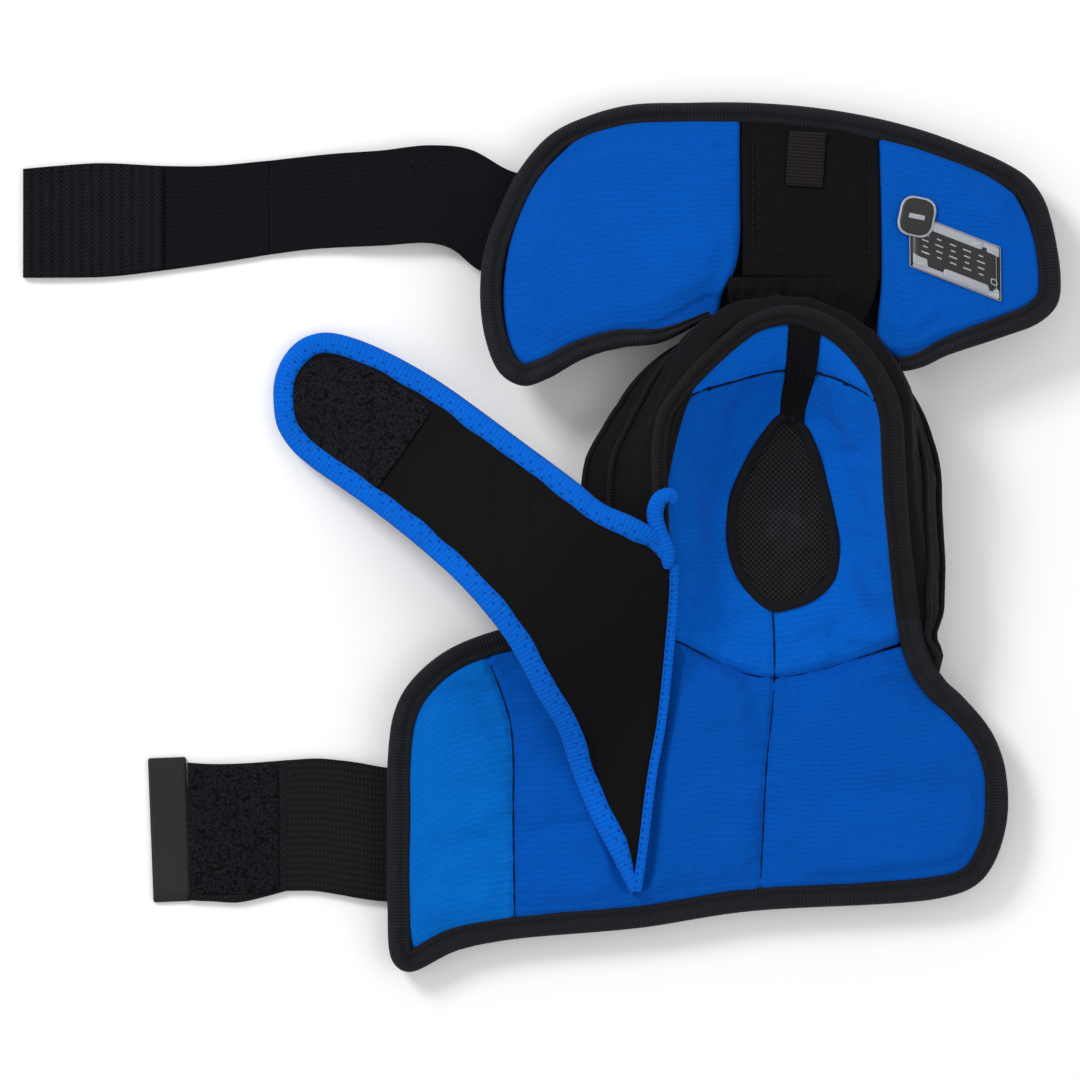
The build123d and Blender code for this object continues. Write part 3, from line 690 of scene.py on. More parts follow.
patch_knit = finish("strap patch", tint(20, 19, 24), knit_loops,
                    {"Columns": 210.0, "Rows": 480.0, "Lean": 2.6, "Waver": 0.35},
                    relief=1.0, depth=1.7, cloud=0.6, lint=0.1, bite=0.001)
hook_face = finish("hook tape", tint(17, 17, 21), hook_pile, {"Hooks": 720.0}, relief=1.0, depth=6.0,
                   cloud=0.6,
                   lint=0.06, bite=0.0012)
loop_face = finish("loop pile", tint(26, 26, 29), hook_pile, {"Hooks": 420.0}, relief=0.8, depth=0.8,
                   cloud=0.3,
                   sheen=0.15, bite=0.0008)
vent_cloth = finish("vent mesh", tint(19, 19, 21), plain_weave, {"Threads": 760.0}, relief=1.0, depth=5.0,
                    cloud=0.5,
                    lint=0.0, bite=0.0008, on_uv=False, rubbing_and_light=True, specular=0.2)
ribbon = finish("ribbon tab", tint(32, 29, 28), tape_ribs, {"Ribs": 620.0, "Cross": 1200.0}, relief=0.9,
                depth=1.0,
                cloud=0.2, bite=0.0006)
tab_rubber = finish("pull tab", tint(26, 26, 29), hook_pile, {"Hooks": 1500.0}, relief=0.3, depth=0.3,
                    cloud=0.3,
                    specular=0.4)
thread_black, thread_blue, thread_navy = (
    finish(f"{name} thread", tint(*shade), tape_ribs, {"Ribs": 900.0}, on_uv=False)
    for name, shade in (("black", (30, 30, 33)), ("blue", (4, 56, 130)), ("navy", (3, 24, 62))))


def moulded(name, shade, rough, speckle):
    """Moulded plastic: fine pebble bump, roughness varied by broad noise, scuffs as thin pale streaks."""
    look = bpy.data.materials.new(name)
    look.use_nodes = True
    tree = look.node_tree
    shader = tree.nodes["Principled BSDF"]
    calc, node = makers(tree)
    where = node("ShaderNodeTexCoord").outputs["Object"]
    pebble = node("ShaderNodeTexNoise", {"Vector": where, "Scale": speckle, "Detail": 3.0}).outputs[0]
    broad = node("ShaderNodeTexNoise", {"Vector": where, "Scale": 30.0, "Detail": 4.0}).outputs[0]
    streak = node("ShaderNodeMapping", {"Vector": where, "Scale": (60.0, 700.0, 200.0),
                                        "Rotation": (0.2, 0, 0.5)}).outputs[0]
    scuff = node("ShaderNodeTexNoise", {"Vector": streak, "Scale": 1.0, "Detail": 3.0}).outputs[0]
    scuff = calc("MULTIPLY", calc("GREATER_THAN", scuff, 0.68), 0.25)
    pale = tuple(min(v * 3 + 0.02, 1.0) for v in shade[:3]) + (1.0,)
    toned = node("ShaderNodeHueSaturation", {"Color": shade,
                                             "Value": calc("MULTIPLY_ADD", broad, 0.5, 0.75)}).outputs[0]
    mixed = node("ShaderNodeMix", {0: scuff, 6: toned, 7: pale}, data_type="RGBA").outputs[2]
    tree.links.new(mixed, shader.inputs["Base Color"])
    tree.links.new(calc("MULTIPLY_ADD", broad, 0.3, rough), shader.inputs["Roughness"])
    bump = node("ShaderNodeBump", {"Strength": 0.25, "Distance": 0.0004, "Height": pebble})
    tree.links.new(bump.outputs[0], shader.inputs["Normal"])
    return look


cap_plastic = moulded("cap plastic", tint(22, 23, 26), 0.35, 900.0)
label_silver = moulded("label silver", tint(150, 153, 160), 0.25, 300.0)
label_black = moulded("label black", tint(16, 16, 20), 0.4, 300.0)


# ------------------------------------------------------------------ lining of the cup and forearm
cup_seam = curve([(-45.5, -69), (-28.5, -78), (-9.5, -87), (6, -89.5), (24, -86.5), (43, -81),
                  (66, -72)], 60)
crest_seam = curve([(-48, 33), (-33, 43.5), (-16, 49), (9, 55), (30, 52.5), (44.6, 45.5), (62, 34)], 50)
cup_centre_seam = curve([(4.8, -56), (5.7, -71), (6, -90)], 24)
forearm_seam = curve([(6, -88), (4.5, -108), (2.4, -128), (-0.9, -192)], 50)
wing_seam = curve([(-131, -76), (-122.5, -97.8), (-118.8, -110.7), (-117.3, -127), (-117.3, -149),
                   (-116.6, -210)], 50)
teardrop = curve([(14, 34), (21, 28.5), (27, 15), (32.3, -5), (36, -27), (34.5, -42), (25.5, -52),
                  (13, -57), (5, -58),
                  (-5.5, -50.5), (-13.5, -38), (-16.6, -22), (-15.2, -5), (-8.1, 12.3), (2, 28), (8, 34.5)],
                 120, closed=True)
wrap_shadow = curve([(-44, -28), (-75.5, -8), (-148, 47.5), (-207, 74), (-231, 45), (-222, 18), (-158, -30),
                     (-123, -67),
                     (-96, -113), (-71, -173), (-62.7, -192), (-55, -184), (-50, -136), (-42, -80)], 120,
                    closed=True)

edge_run = curve([
    (-51, -44), (-51.5, -20), (-52.5, 1), (-52.8, 20), (-49.7, 35.5), (-41, 48.5), (-32, 59), (-19, 71.5),
    (-6, 80.8), (11, 85),
    (25.4, 82.3), (38.2, 75), (48.6, 65), (56, 54.7), (61, 44.5), (63.9, 34), (65.2, 15), (67.2, -14),
    (69.8, -36), (77.4, -75.5),
    (86, -90), (94, -97.4), (106, -111),
    (111.6, -121), (115.4, -134), (116, -157), (109.5, -178), (101, -188), (84, -194), (-8, -200.4),
    (-57.5, -208),
    (-121.6, -214), (-144.4, -219), (-167, -229), (-174.5, -224), (-177, -196), (-177, -150),
    (-177, -132.5), (-174, -107),
    (-167, -92.6), (-149.6, -77), (-123.5, -66.5), (-101, -62.5), (-94, -66), (-89, -75), (-86, -86)], 620)
bicep_run = curve([
    (-24, 80.5), (-32, 76), (-40, 71.5), (-50, 67.5), (-68, 65.5), (-85, 60), (-101, 51), (-112.5, 47.6),
    (-123, 53), (-130, 68), (-133, 90), (-131, 112),
    (-125.5, 128), (-115.4, 149), (-100, 167), (-82, 176), (-62, 181.3), (-35, 182.3), (-6.6, 182.4),
    (25, 180), (54, 175),
    (78, 168.5), (98, 161), (113, 154.5), (125, 147), (132, 138), (136.3, 126), (140.3, 98), (138.5, 86),
    (130, 77.5), (112, 70.5),
    (86, 61.8), (76, 57), (68, 54.8), (62, 54.4)], 420)


strip = curve([(18.5, 79), (18.2, 66), (17.2, 52), (14.5, 38), (14, 30)], 40)
label_line = curve([(72, 129), (79, 114), (94, 107), (110, 100)], 30)


def tuck(points, line, wide=11.5, drop=1.5):
    """Lowers points that lie under the edge tape, easing out over its inner stitch line."""
    near = beside(points[:, :2], line[::2])[0]
    points[:, 2] -= drop * ease((wide + 1.5 - near) / 4.0)
    return points


def clear_of_wrap(points):
    """Keeps the lining under the wrap: no higher than its underside, easing off outside its edge."""
    xy = points[:, :2]
    out = np.where(inside(xy, wrap_shadow), 0, beside(xy, shut(wrap_shadow))[0])
    roof = wrap_height(xy) - 5.4 + 0.6 * out
    points[:, 2] = np.where(points[:, 1] < -60, np.minimum(points[:, 2], roof), points[:, 2])
    return points


cup_top = patch(
    [(-45.5, -70), (-28.5, -79), (-9.5, -88), (6, -90.5), (24, -87.5), (43, -82), (65.5, -73)],
    [(65.5, -73), (62, -50), (58.5, -20), (57, 10), (56, 29), (51.5, 43)],
    [(-44, 34), (-35, 49), (-24.5, 60.5), (-9, 71.5), (7, 77), (20, 76), (32, 69.5), (43.5, 58),
     (51.5, 43)],
    [(-45.5, -70), (-45, -40), (-46, -10), (-46.5, 8), (-47, 24), (-44, 34)],
    38, 30)[..., :2]
cup_top = on_lining(cup_top)
cup_lining = loops_piece("cup_lining", fold_over(cup_top, under(cup_top, 6.0)), [lining_elbow_painted_light, lining_crest_painted_lit])

guard_top = patch(
    [(-164, -221), (-144, -213.5), (-117, -208), (-85, -207), (-62, -201), (-1, -191), (82, -187),
     (100, -179)],
    [(100, -179), (109.5, -157), (110, -138), (105.5, -124), (99, -113), (78, -95), (66, -74)],
    [(-161, -99), (-146, -85.5), (-133, -79), (-117, -75), (-90, -73), (-62, -72), (-44, -69.5),
     (-28.5, -77.5),
     (-9.5, -86), (6, -88.5), (24, -85.5), (43, -80), (66, -74)],
    [(-164, -221), (-169.5, -200), (-169.5, -181), (-168, -139), (-167, -112), (-161, -99)],
    34, 62)[..., :2]
guard_top = on_lining(guard_top)
guard_lining = loops_piece("forearm_lining", fold_over(guard_top, under(guard_top, 7.6)),
                           [lining_forearm_painted_shade, lining_wing_painted_lit])


def bicep_sheet(xy, lift=0.0):
    """Points on the bicep guard's lining plane at a lift above it."""
    return lifted(xy, bicep_plane(xy[..., 1]) + lift)


left_top = bicep_sheet(patch(
    [(-112, 55), (-102, 55.5), (-88, 63.5), (-72, 69.5), (-52, 71.5), (-38, 74.5), (-21, 80)],
    [(-21, 80), (-18.5, 92), (-13, 102), (-10.5, 114), (-10, 140), (-10, 175)],
    [(-88, 164.5), (-76, 171), (-64.6, 174), (-40, 175), (-10, 175)],
    [(-112, 55), (-119, 66), (-122, 83), (-122, 98), (-118.5, 119), (-113, 134), (-104.5, 148),
     (-88, 164.5)],
    26, 26))
right_top = bicep_sheet(patch(
    [(53.5, 69.5), (62, 60.5), (70, 59.5), (83, 65.5), (98, 71.5), (118, 78.5), (131, 88)],
    [(131, 88), (131, 98), (129.5, 112), (125.5, 126), (119, 138.5)],
    [(55, 168), (83, 159), (104.5, 149), (119, 138.5)],
    [(53.5, 69.5), (54, 80), (55.5, 96), (55.5, 130), (55, 168)],
    22, 22))
bicep_left = loops_piece("bicep_lining_left", fold_over(left_top, under(left_top, 9.0)), lining_bicep)
bicep_right = loops_piece("bicep_lining_right", fold_over(right_top, under(right_top, 9.0)), lining_bicep)


def from_held(points, top, lines):
    """Distance in plan from each point to the nearest of the pad's border and its sewn lines."""
    rim = np.vstack([top[0], top[1:, -1], top[-1, -2::-1], top[-2::-1, 0]])[:, :2]
    near = beside(points[:, :2], rim)[0]
    for line in lines:
        near = np.minimum(near, beside(points[:, :2], line)[0])
    return near


def swell_share(places, covers):
    """Share of the swelling that the skin takes: 0 under what is sewn on top and inside the
    teardrop, rising to 1 over 8 mm beyond each line's reach."""
    share = np.ones(len(places))
    for line, reach in covers:
        share = np.minimum(share, ease((beside(places, line)[0] - reach) / 8.0))
    return np.where(inside(places, teardrop), 0, share)


cloth_settings = {
    "vertex_group_mass": "held", "mass": 0.02, "quality": 6, "tension_stiffness": 6,
    "compression_stiffness": 6,
    "bending_stiffness": 0.05, "shrink_min": -0.04, "use_pressure": True, "uniform_pressure_force": 4.0,
}


def plump(pads, frames=20):
    """Blows the pads up with the cloth solver: the underside, border and seams are held, pressure
    swells the rest, and no point moves further than its pad's cap. Each pad is its piece, its upper
    grid, its sewn lines, its cap and its covers."""
    scene = bpy.context.scene
    starts = []
    for piece, top, lines, cap, covers in pads:
        rest = read(piece)
        skin = {tuple(np.round(p, 2)) for p in top.reshape(-1, 3)}
        on_skin = np.array([tuple(np.round(p, 2)) in skin for p in rest])
        weight = np.where(on_skin, 1 - ease((from_held(rest, top, lines) - 1.0) / 5.0), 1.0)
        group = piece.vertex_groups.new(name="held")
        for step in np.unique(np.round(weight, 1)):
            group.add(np.flatnonzero(np.round(weight, 1) == step).tolist(), float(step), "REPLACE")
        cloth = piece.modifiers.new("blow up", "CLOTH")
        for key, value in cloth_settings.items():
            setattr(cloth.settings, key, value)
        cloth.settings.effector_weights.gravity = 0
        cloth.collision_settings.use_collision = False
        cloth.point_cache.frame_start, cloth.point_cache.frame_end = 1, frames
        starts.append((piece, rest, cap, swell_share(rest[:, :2], covers)))
    for step in range(1, frames + 1):
        scene.frame_set(step)
    ready = bpy.context.evaluated_depsgraph_get()
    for piece, rest, cap, share in starts:
        mesh = piece.evaluated_get(ready).to_mesh()
        moved = np.empty(len(mesh.vertices) * 3, np.float32)
        mesh.vertices.foreach_get("co", moved)
        moved = (moved.reshape(-1, 3) - elbow) * 1000
        piece.evaluated_get(ready).to_mesh_clear()
        move = moved - rest
        length = np.linalg.norm(move, axis=1, keepdims=True)
        move *= np.minimum(1, cap / np.maximum(length, 1e-6)) * share[:, None]
        piece.modifiers.clear()
        piece.vertex_groups.clear()
        write(piece, rest + move)
    scene.frame_set(1)


pad_edge, guard_edge = (edge_run[::2], 11.5), (bicep_run[::2], 11.5)
plump([
    (guard_lining, guard_top, [forearm_seam, wing_seam], 3.0, [pad_edge]),
    (cup_lining, cup_top, [crest_seam, cup_centre_seam], 2.5,
     [pad_edge, (strip, 9.0), (shut(teardrop), 6.0)]),
    (bicep_left, left_top, [], 2.5, [guard_edge]),
    (bicep_right, right_top, [], 2.5, [guard_edge, (label_line, 17.0)]),
])


def seam_cord(name, line, heights, thick=0.5):
    """Sunk thread line along a seam: a six-sided cord whose radius wavers slightly."""
    radius = thick * (1 + 0.25 * waves(line, 6, 12))[:, None]
    cord = loops_piece(name, carry(lifted(line, heights), oval(6, radius, radius)), thread_navy)
    return fit(cord, "pad_body", "blue_lining")


refine(cup_lining, 2)
points = read(cup_lining)
upper = points[:, 2] > lining_height(points[:, :2]) - 3.0
top_side = points[upper]
top_side[:, 2] += 0.7 * waves(top_side[:, :2], 30,
                              5) * ease((beside(top_side[:, :2], cup_seam)[0] - 4) / 10)
for line, depth, wide in ((crest_seam, 1.5, 1.5), (cup_centre_seam, 1.3, 1.4), (cup_seam, 2.2, 2.6)):
    top_side = groove(top_side, line, depth, wide, 0.3)
top_side = tuck(top_side, edge_run, 10.0, 1.2)
well = np.where(inside(top_side[:, :2], teardrop), beside(top_side[:, :2], shut(teardrop))[0], 0)
top_side[:, 2] -= 4.5 * ease(well / 5.0)
points[upper] = top_side
write(cup_lining, points)
# painted light: faces above the crest seam take the lighter crest copy of the lining blue
paint(cup_lining, lambda c: (beside(c[:, :2], crest_seam)[2] > 0) & (c[:, 1] > 25))
top_side = points[upper]


def on_top(line, drop):
    """Heights of the finished lining's skin along a line of plan places, less a drop: the mean of
    the skin's points near each place."""
    near = ((top_side[None, :, :2] - line[:, None]) ** 2).sum(-1)
    pick = np.argsort(near, axis=1)[:, :5]
    return smoothed(top_side[pick, 2].mean(1), 2) - drop


for name, line, thick in (("crest_seam_cord", crest_seam[3:-4], 0.6),
                          ("cup_centre_seam_cord", cup_centre_seam, 0.4),
                          ("cup_seam_cord", cup_seam[1:-1], 0.6)):
    seam_cord(name, line, on_top(line, -0.1), thick)
for spot, (x, y) in enumerate(((-26, 46.0), (38, 48.6), (51.5, 40.5))):
    line = np.array([(x - 1.2, y + 0.4), (x, y), (x + 1.2, y - 0.8)])
    knot = stitches(f"crest_knot_{spot}", lifted(line, on_top(line, -0.5)), thread_navy, 1.2, 0.4, 0.8)
    fit(knot, "pad_body", "blue_lining")
fit(cup_lining, "pad_body", "blue_lining", "elbow_liner", "crest_liner_left", "crest_liner_right",
              "elbow_foam")

refine(guard_lining, 2)
points = read(guard_lining)
upper = points[:, 2] > lining_height(points[:, :2]) - 4.0
top_side = points[upper]
top_side[:, 2] += 0.6 * waves(top_side[:, :2], 34, 9)
for line, depth, wide in ((forearm_seam, 1.5, 1.5), (wing_seam, 1.6, 1.6), (cup_seam, 2.2, 2.6)):
    top_side = groove(top_side, line, depth, wide, 0.3)
for line, depth, wide in (([(12, -143), (53, -145), (96, -142)], 1.2, 7.0),
                          ([(-108, -163), (-96, -159), (-82, -158)], 1.6, 4.0),
                          ([(-58, -120), (-30, -132), (-4, -134)], 0.9, 8.0),
                          ([(20, -118), (30, -126), (32, -138)], 0.8, 3.0)):
    top_side = groove(top_side, curve(line, 30), depth, wide, 0.0)
points[upper] = clear_of_wrap(tuck(top_side, edge_run))
top_side = points[upper]
for name, line, thick in (("forearm_seam_cord", forearm_seam[1:-1], 0.4),
                          ("wing_seam_cord", wing_seam[3:-3], 0.5)):
    seam_cord(name, line, on_top(line, 0.15), thick)
write(guard_lining, points)
# painted light: the wing's faces take the lighter wing copy of the lining blue
paint(guard_lining, lambda c: (beside(c[:, :2], wing_seam)[2] < 0) & (c[:, 0] < -100))
fit(guard_lining, "pad_body", "blue_lining", "forearm_liner_wing", "forearm_liner_left",
              "forearm_liner_right", "forearm_foam")

for piece, nodes, seed in ((bicep_left, ("bicep_liner_left",), 3),
                           (bicep_right, ("bicep_liner_right",), 4)):
    refine(piece, 2)
    points = read(piece)
    upper = points[:, 2] > bicep_plane(points[:, 1]) - 4.0
    points[upper, 2] += 0.5 * waves(points[upper, :2], 32, seed)
    points[upper] = tuck(points[upper], bicep_run, 10.5)
    write(piece, points)
    fit(piece, "bicep_guard", "blue_lining", *nodes)

# ------------------------------------------------------------------ webbing, teardrop and vent
half = np.interp(np.linspace(0, 1, 40), [0, 0.45, 1], [7.6, 7.4, 5.6])
ahead = unit(np.gradient(strip, axis=0))
right = np.stack([ahead[:, 1], -ahead[:, 0]], -1)
share = np.linspace(-1, 1, 17)
flat = strip[:, None] + right[:, None] * (half[:, None] * share)[..., None]
middle_rib = 0.8 * np.exp(-((share / 0.14) ** 2))
side_ribs = 0.5 * np.exp(-(((np.abs(share) - 0.72) / 0.1) ** 2))
crown = 0.9 + 0.7 * (1 - share**2) - middle_rib - side_ribs
band_top = on_lining(flat, crown[None])
seam_row = np.exp(-((np.linspace(0, 1, 40) - 0.62) / 0.03) ** 2)
band_top[..., 2] -= 0.7 * seam_row[:, None]
webbing = loops_piece("centre_webbing_strip", fold_over(band_top, under(band_top, 1.8)), centre_cloth)
fit(refine(webbing, 1), "pad_body", "black_nylon", "centre_webbing")
line = on_lining(strip[3:], 1.3)
fit(stitches("webbing_stitches", line, thread_black, 2.2, 1.6, 0.3), "pad_body", "black_nylon")
for side in (-1, 1):
    edge = on_lining(flat[3:, 8 + side * 6], 1.25)
    fit(stitches(f"webbing_edge_stitches_{'left' if side < 0 else 'right'}", edge, thread_black, 1.8, 1.4,
                 0.25),
        "pad_body", "black_nylon")

ring_line = shut(curve(teardrop, 150, closed=True))
middle = on_lining(ring_line, 0.0)
middle[:, 2] = np.convolve(np.r_[middle[-10:-1, 2], middle[:, 2], middle[1:10, 2]], np.ones(7) / 7,
                           "same")[9:-9]
pull = 0.35 * waves(ring_line, 16, 21)
ring_section = np.array([(-0.4, -0.8), (-0.7, 0.4), (0.4, 1.3), (1.8, 1.6), (3.4, 1.3), (4.8, 0.4),
                         (5.9, -1.0), (6.4, -2.4),
                         (6.0, -3.6), (4.4, -3.8), (2.4, -3.6), (0.4, -2.8)])
loops = carry(middle, ring_section * np.array([0.76, 0.9]) * (1 + 0.14 * pull[:, None, None]))
teardrop_roll = loops_piece("teardrop_binding", loops[:-1], arch_black, closed=True)
refine(teardrop_roll, 1)
fit(teardrop_roll, "pad_body", "black_tape", "teardrop_tape")

vent_middle = np.array([11.0, -14.0])
rings = np.linspace(1, 0, 30)[None, :, None]
hole = vent_middle + (teardrop[:, None] - vent_middle) * (rings * 0.94)
mesh_top = on_lining(hole, -1.7)
mesh_top[..., 2] = mesh_top[..., 2].mean() * 0.4 + mesh_top[..., 2] * 0.6
mesh_top[..., 2] += 0.5 * waves(mesh_top[..., :2], 14, 8)
vent = loops_piece("vent_mesh_sheet", fold_over(mesh_top, under(mesh_top, 0.8)), vent_cloth, closed=True)
places = read(vent)[:, :2]
spots = np.array([(7.5, 8.5), (4.0, -2.0), (-4.5, -16), (12.5, -9), (3.5, -30), (22, -29), (19.5, -12),
                  (10, -24)])
near = np.linalg.norm(places[:, None] - spots, axis=2).min(1)
# painted highlight: the mesh is paler round its middle as a shine; it is darker at the vent spots
shine = np.exp(-(np.linalg.norm(places - np.array([13, -17]), axis=1) / 11) ** 2)
mark(vent, "worn", 3.4 * shine * (0.6 + 0.6 * waves(places, 8, 19)) - 1.6 * np.exp(-((near / 1.7) ** 2)))
fit(vent, "pad_body", "mesh", "vent_mesh")

# ------------------------------------------------------------------ edge tape of the cup and forearm
step = np.arange(len(edge_run))
outer_wide = np.interp(step, [0, 60, 110, 150, 210, 620], [6.5, 8.0, 9.4, 10.6, 11.2, 11.0])
on_rim = ease((edge_run[:, 1] + 96) / 12) * (step < 330)
rim_z = np.where(on_rim > 0, rim_line(np.maximum(edge_run[:, 1], rim_end)), 0)
top_z = smoothed(np.maximum(rim_z, forearm_plane(edge_run[:, 1])), 6)
guard_deep, rim_deep = 14.4, 9.0
deep = smoothed(guard_deep + (rim_deep - guard_deep) * on_rim, 10)


def edge_roll(line, top, depth, wide, seed, swell=1.0):
    """Loops of folded edge tape carried clockwise round a pad: a soft crown on top, a rounded nose
    at the edge and a flat return below, pinched along its inner stitch line. Crown and width waver
    by an uneven ripple."""
    inward = np.array([1.0, 0.95, 0.86, 0.74, 0.66, 0.55, 0.38, 0.18, 0.03, 0.0, 0.02, 0.16, 0.42, 0.72,
                       1.0, 1.05])
    crown = np.array([-0.9, 0.1, 0.55, 0.3, -0.55, 0.8, 1.6, 1.1, -0.7, 0, 0, 0, 0, 0, 0, 0])
    drop = np.array([0, 0, 0, 0, 0, 0, 0, 0, 0, 0.22, 0.6, 0.92, 1, 1, 1, 0.5])
    waver = 1 + 0.18 * waves(line[:, :2], 26, seed)[:, None]
    across = inward * wide[:, None] * (1 + 0.035 * waves(line[:, :2], 40, seed + 1)[:, None])
    rise = crown * swell * waver - drop * depth[:, None]
    return carry(lifted(line[:, :2], top), np.stack([across, rise], -1))


loops = edge_roll(edge_run, top_z, deep, outer_wide, 31)
edge_tape = loops_piece("pad_edge_tape", loops, [arch_black, edge_black])
paint(edge_tape, lambda c: c[:, 1] < tape_change)
refine(edge_tape, 1)
tape_points = read(edge_tape)
rim_z = np.where(tape_points[:, 1] > rim_end, rim_line(np.maximum(tape_points[:, 1], rim_end)), 0)
height = np.maximum(rim_z, forearm_plane(tape_points[:, 1]))
# the tape is made paler toward its top, in patches
mark(edge_tape, "worn", ease((tape_points[:, 2] - height + 0.2) / 1.8) * (0.5 + 0.5 * waves(tape_points[:, :2], 12, 77)))
fit(edge_tape, "pad_body", "black_tape", "rim_tape", "forearm_tape")

# ------------------------------------------------------------------ cup walls and cap
wall_heights = np.array([3, 12, 24, 38, 60.0])
wall_sizes = np.array([(56, 52, 0), (78, 68, 0), (85.5, 77, 0.5), (76, 82, 3), (57.3, 87, 8)])
wall_trim = np.array([
    (-1, 1), (0, 1.5), (0.06, 2.2), (0.12, 5.0), (0.18, 5.6), (0.25, 3.8), (0.32, 2.4), (0.42, 0.4),
    (0.6, 0),
    (0.7, 0.4), (0.8, 1.6), (0.9, 3.6), (1.1, 3.4), (1.38, 1.8), (1.62, 2.4), (1.72, 5.6), (1.76, 5.6),
    (1.83, 2.6), (1.88, 3.8), (1.94, 4.2), (2.0, 3.4)])
wall_brow = np.array([(0.2, 0), (0.32, 5.2), (0.45, 5.6), (0.7, 7.6), (0.84, 6.0), (0.95, 0)])


def wall(turn, z):
    """Point of the cup's outer wall: round the arch by angle for turn 0 to 1, along the legs below
    0 and above 1. Half width, reach and shift follow the height. The trim draws the wall in at
    mid height, and the brow brings its upper part out behind the arch."""
    half, reach, shift = (np.interp(z, wall_heights, wall_sizes[:, i]) for i in range(3))
    trim = np.interp(turn, wall_trim[:, 0], wall_trim[:, 1])
    brow = np.interp(turn, wall_brow[:, 0], wall_brow[:, 1])
    trim = trim * ease((z - 6) / 12) * (1 - ease((z - 44) / 12))
    trim = trim - brow * ease((z - 38.5) / 4) * (1 - ease((z - 51) / 7))
    half, reach = half - trim, reach - trim
    angle = math.pi * (1 - np.clip(turn, 0, 1))
    leg = np.where(turn < 0, turn, np.where(turn > 1, 1 - turn, 0)) * (4.0 - heel)
    return np.stack([shift + half * np.cos(angle), reach * np.sin(angle) + leg, z], -1)


turn = np.concatenate([np.linspace(-1, 0, 26)[:-1], np.linspace(0, 1, 90),
                       np.linspace(1, 2, 26)[1:]])[:, None]
rim_here = rim_line(wall(turn, 45.0 + 0 * turn)[..., 1]) - 0.6
for name, low, high, swell, seed, nodes in (
        ("lower", 9.2, 24.0, 1.3, 41, ("elbow_pan", "side_panel_lower_left", "side_panel_lower_right")),
        ("middle", 24.0, 38.0, 1.6, 42, ("side_panel_upper_left", "side_panel_upper_right")),
        ("upper", 38.0, 62.0, 0.8, 43, ("elbow_end_panel",))):
    share = np.linspace(0, 1, 15)[None]
    foot = np.minimum(low, rim_here - 3)
    z = foot + (np.minimum(high, rim_here) - foot) * share
    skin = wall(turn, z)
    away = skin - np.array([8.0, 0, 0])
    away[..., 1] = np.where((turn < 0) | (turn > 1), 0, away[..., 1])
    away[..., 2] = 0
    away = unit(away)
    where = np.stack([np.broadcast_to(turn * 260, z.shape), z], -1)
    puff = swell * np.sin(math.pi * share) ** 0.7 * (1 + 0.5 * waves(where, 34, seed))
    puff = puff + 0.55 * waves(where * np.array([1, 0.35]), 11, seed + 5) * np.sin(math.pi * share) - 0.8
    tuck_in = np.interp(turn, [-1, -0.7, 1.7, 1.95], [3.0, 7.0, 7.0, 0.6])
    puff = puff - tuck_in * ease(1 - (rim_here + 0.6 - z) / 7.0)
    outer = skin + away * puff[..., None]
    piece = loops_piece(f"side_wall_{name}", fold_over(outer, outer - away * 3.2), side_cloth)
    fit(piece, "pad_body", "black_nylon", *nodes)
    if name != "upper":
        line = wall(turn, np.minimum(high, rim_here - 1.5))[:, 0]
        line = line + away[:, 0] * 0.5
        fit(loops_piece(f"side_piping_{name}", carry(line, oval(8, 1.5, 1.5)), arch_black), "pad_body",
            "black_nylon")
share = np.linspace(0, 1, 8)[None]
z = 3.4 + 6.2 * share + 0 * turn
floor_side = wall(turn, z)
inner = floor_side * np.array([0.94, 0.94, 1]) + np.array([0, 0, 0.8])
piece = loops_piece("cup_floor_edge", fold_over(floor_side, inner), cover_cloth)
fit(piece, "pad_body", "black_nylon")

shell = frame["nodes"]["elbow_cap"]
shell.data.materials.clear()
shell.data.materials.append(cap_plastic)


def plate_relief(xy, centre, half_x, half_y, round_by):
    """1 over a rounded plate and 0 beyond its edge: the eased distance to a rounded box."""
    q = np.abs(xy - np.array(centre)) - np.array([half_x - round_by, half_y - round_by])
    far = np.linalg.norm(np.maximum(q, 0), axis=-1) + np.minimum(q.max(-1), 0) - round_by
    return ease(-far / 5.0)


guard_under = patch(
    [(-166, -224), (-117, -210), (-60, -204.5), (-1, -196), (82, -190), (102, -182)],
    [(102, -182), (111, -160), (111, -140), (108, -126), (101, -112), (86, -93)],
    [(-164, -96), (-148, -82), (-122, -71), (-98, -67), (-92, -80), (-88, -91.5), (0, -91.5), (86, -93)],
    [(-166, -224), (-172, -200), (-172, -150), (-169, -115), (-164, -96)], 40, 70)[..., :2]
base = forearm_plane(guard_under[..., 1]) - forearm_thick
bulge = 1.1 * plate_relief(guard_under, (10, -142), 62, 34, 16) + 0.25 * waves(guard_under, 24, 61)
outer = lifted(guard_under, base - np.maximum(bulge, -0.2) + 0.1)
cover = loops_piece("forearm_outer_cover", fold_over(under(outer, -4.2), outer), cover_cloth)
fit(cover, "pad_body", "black_nylon", "forearm_cover", "forearm_plate")

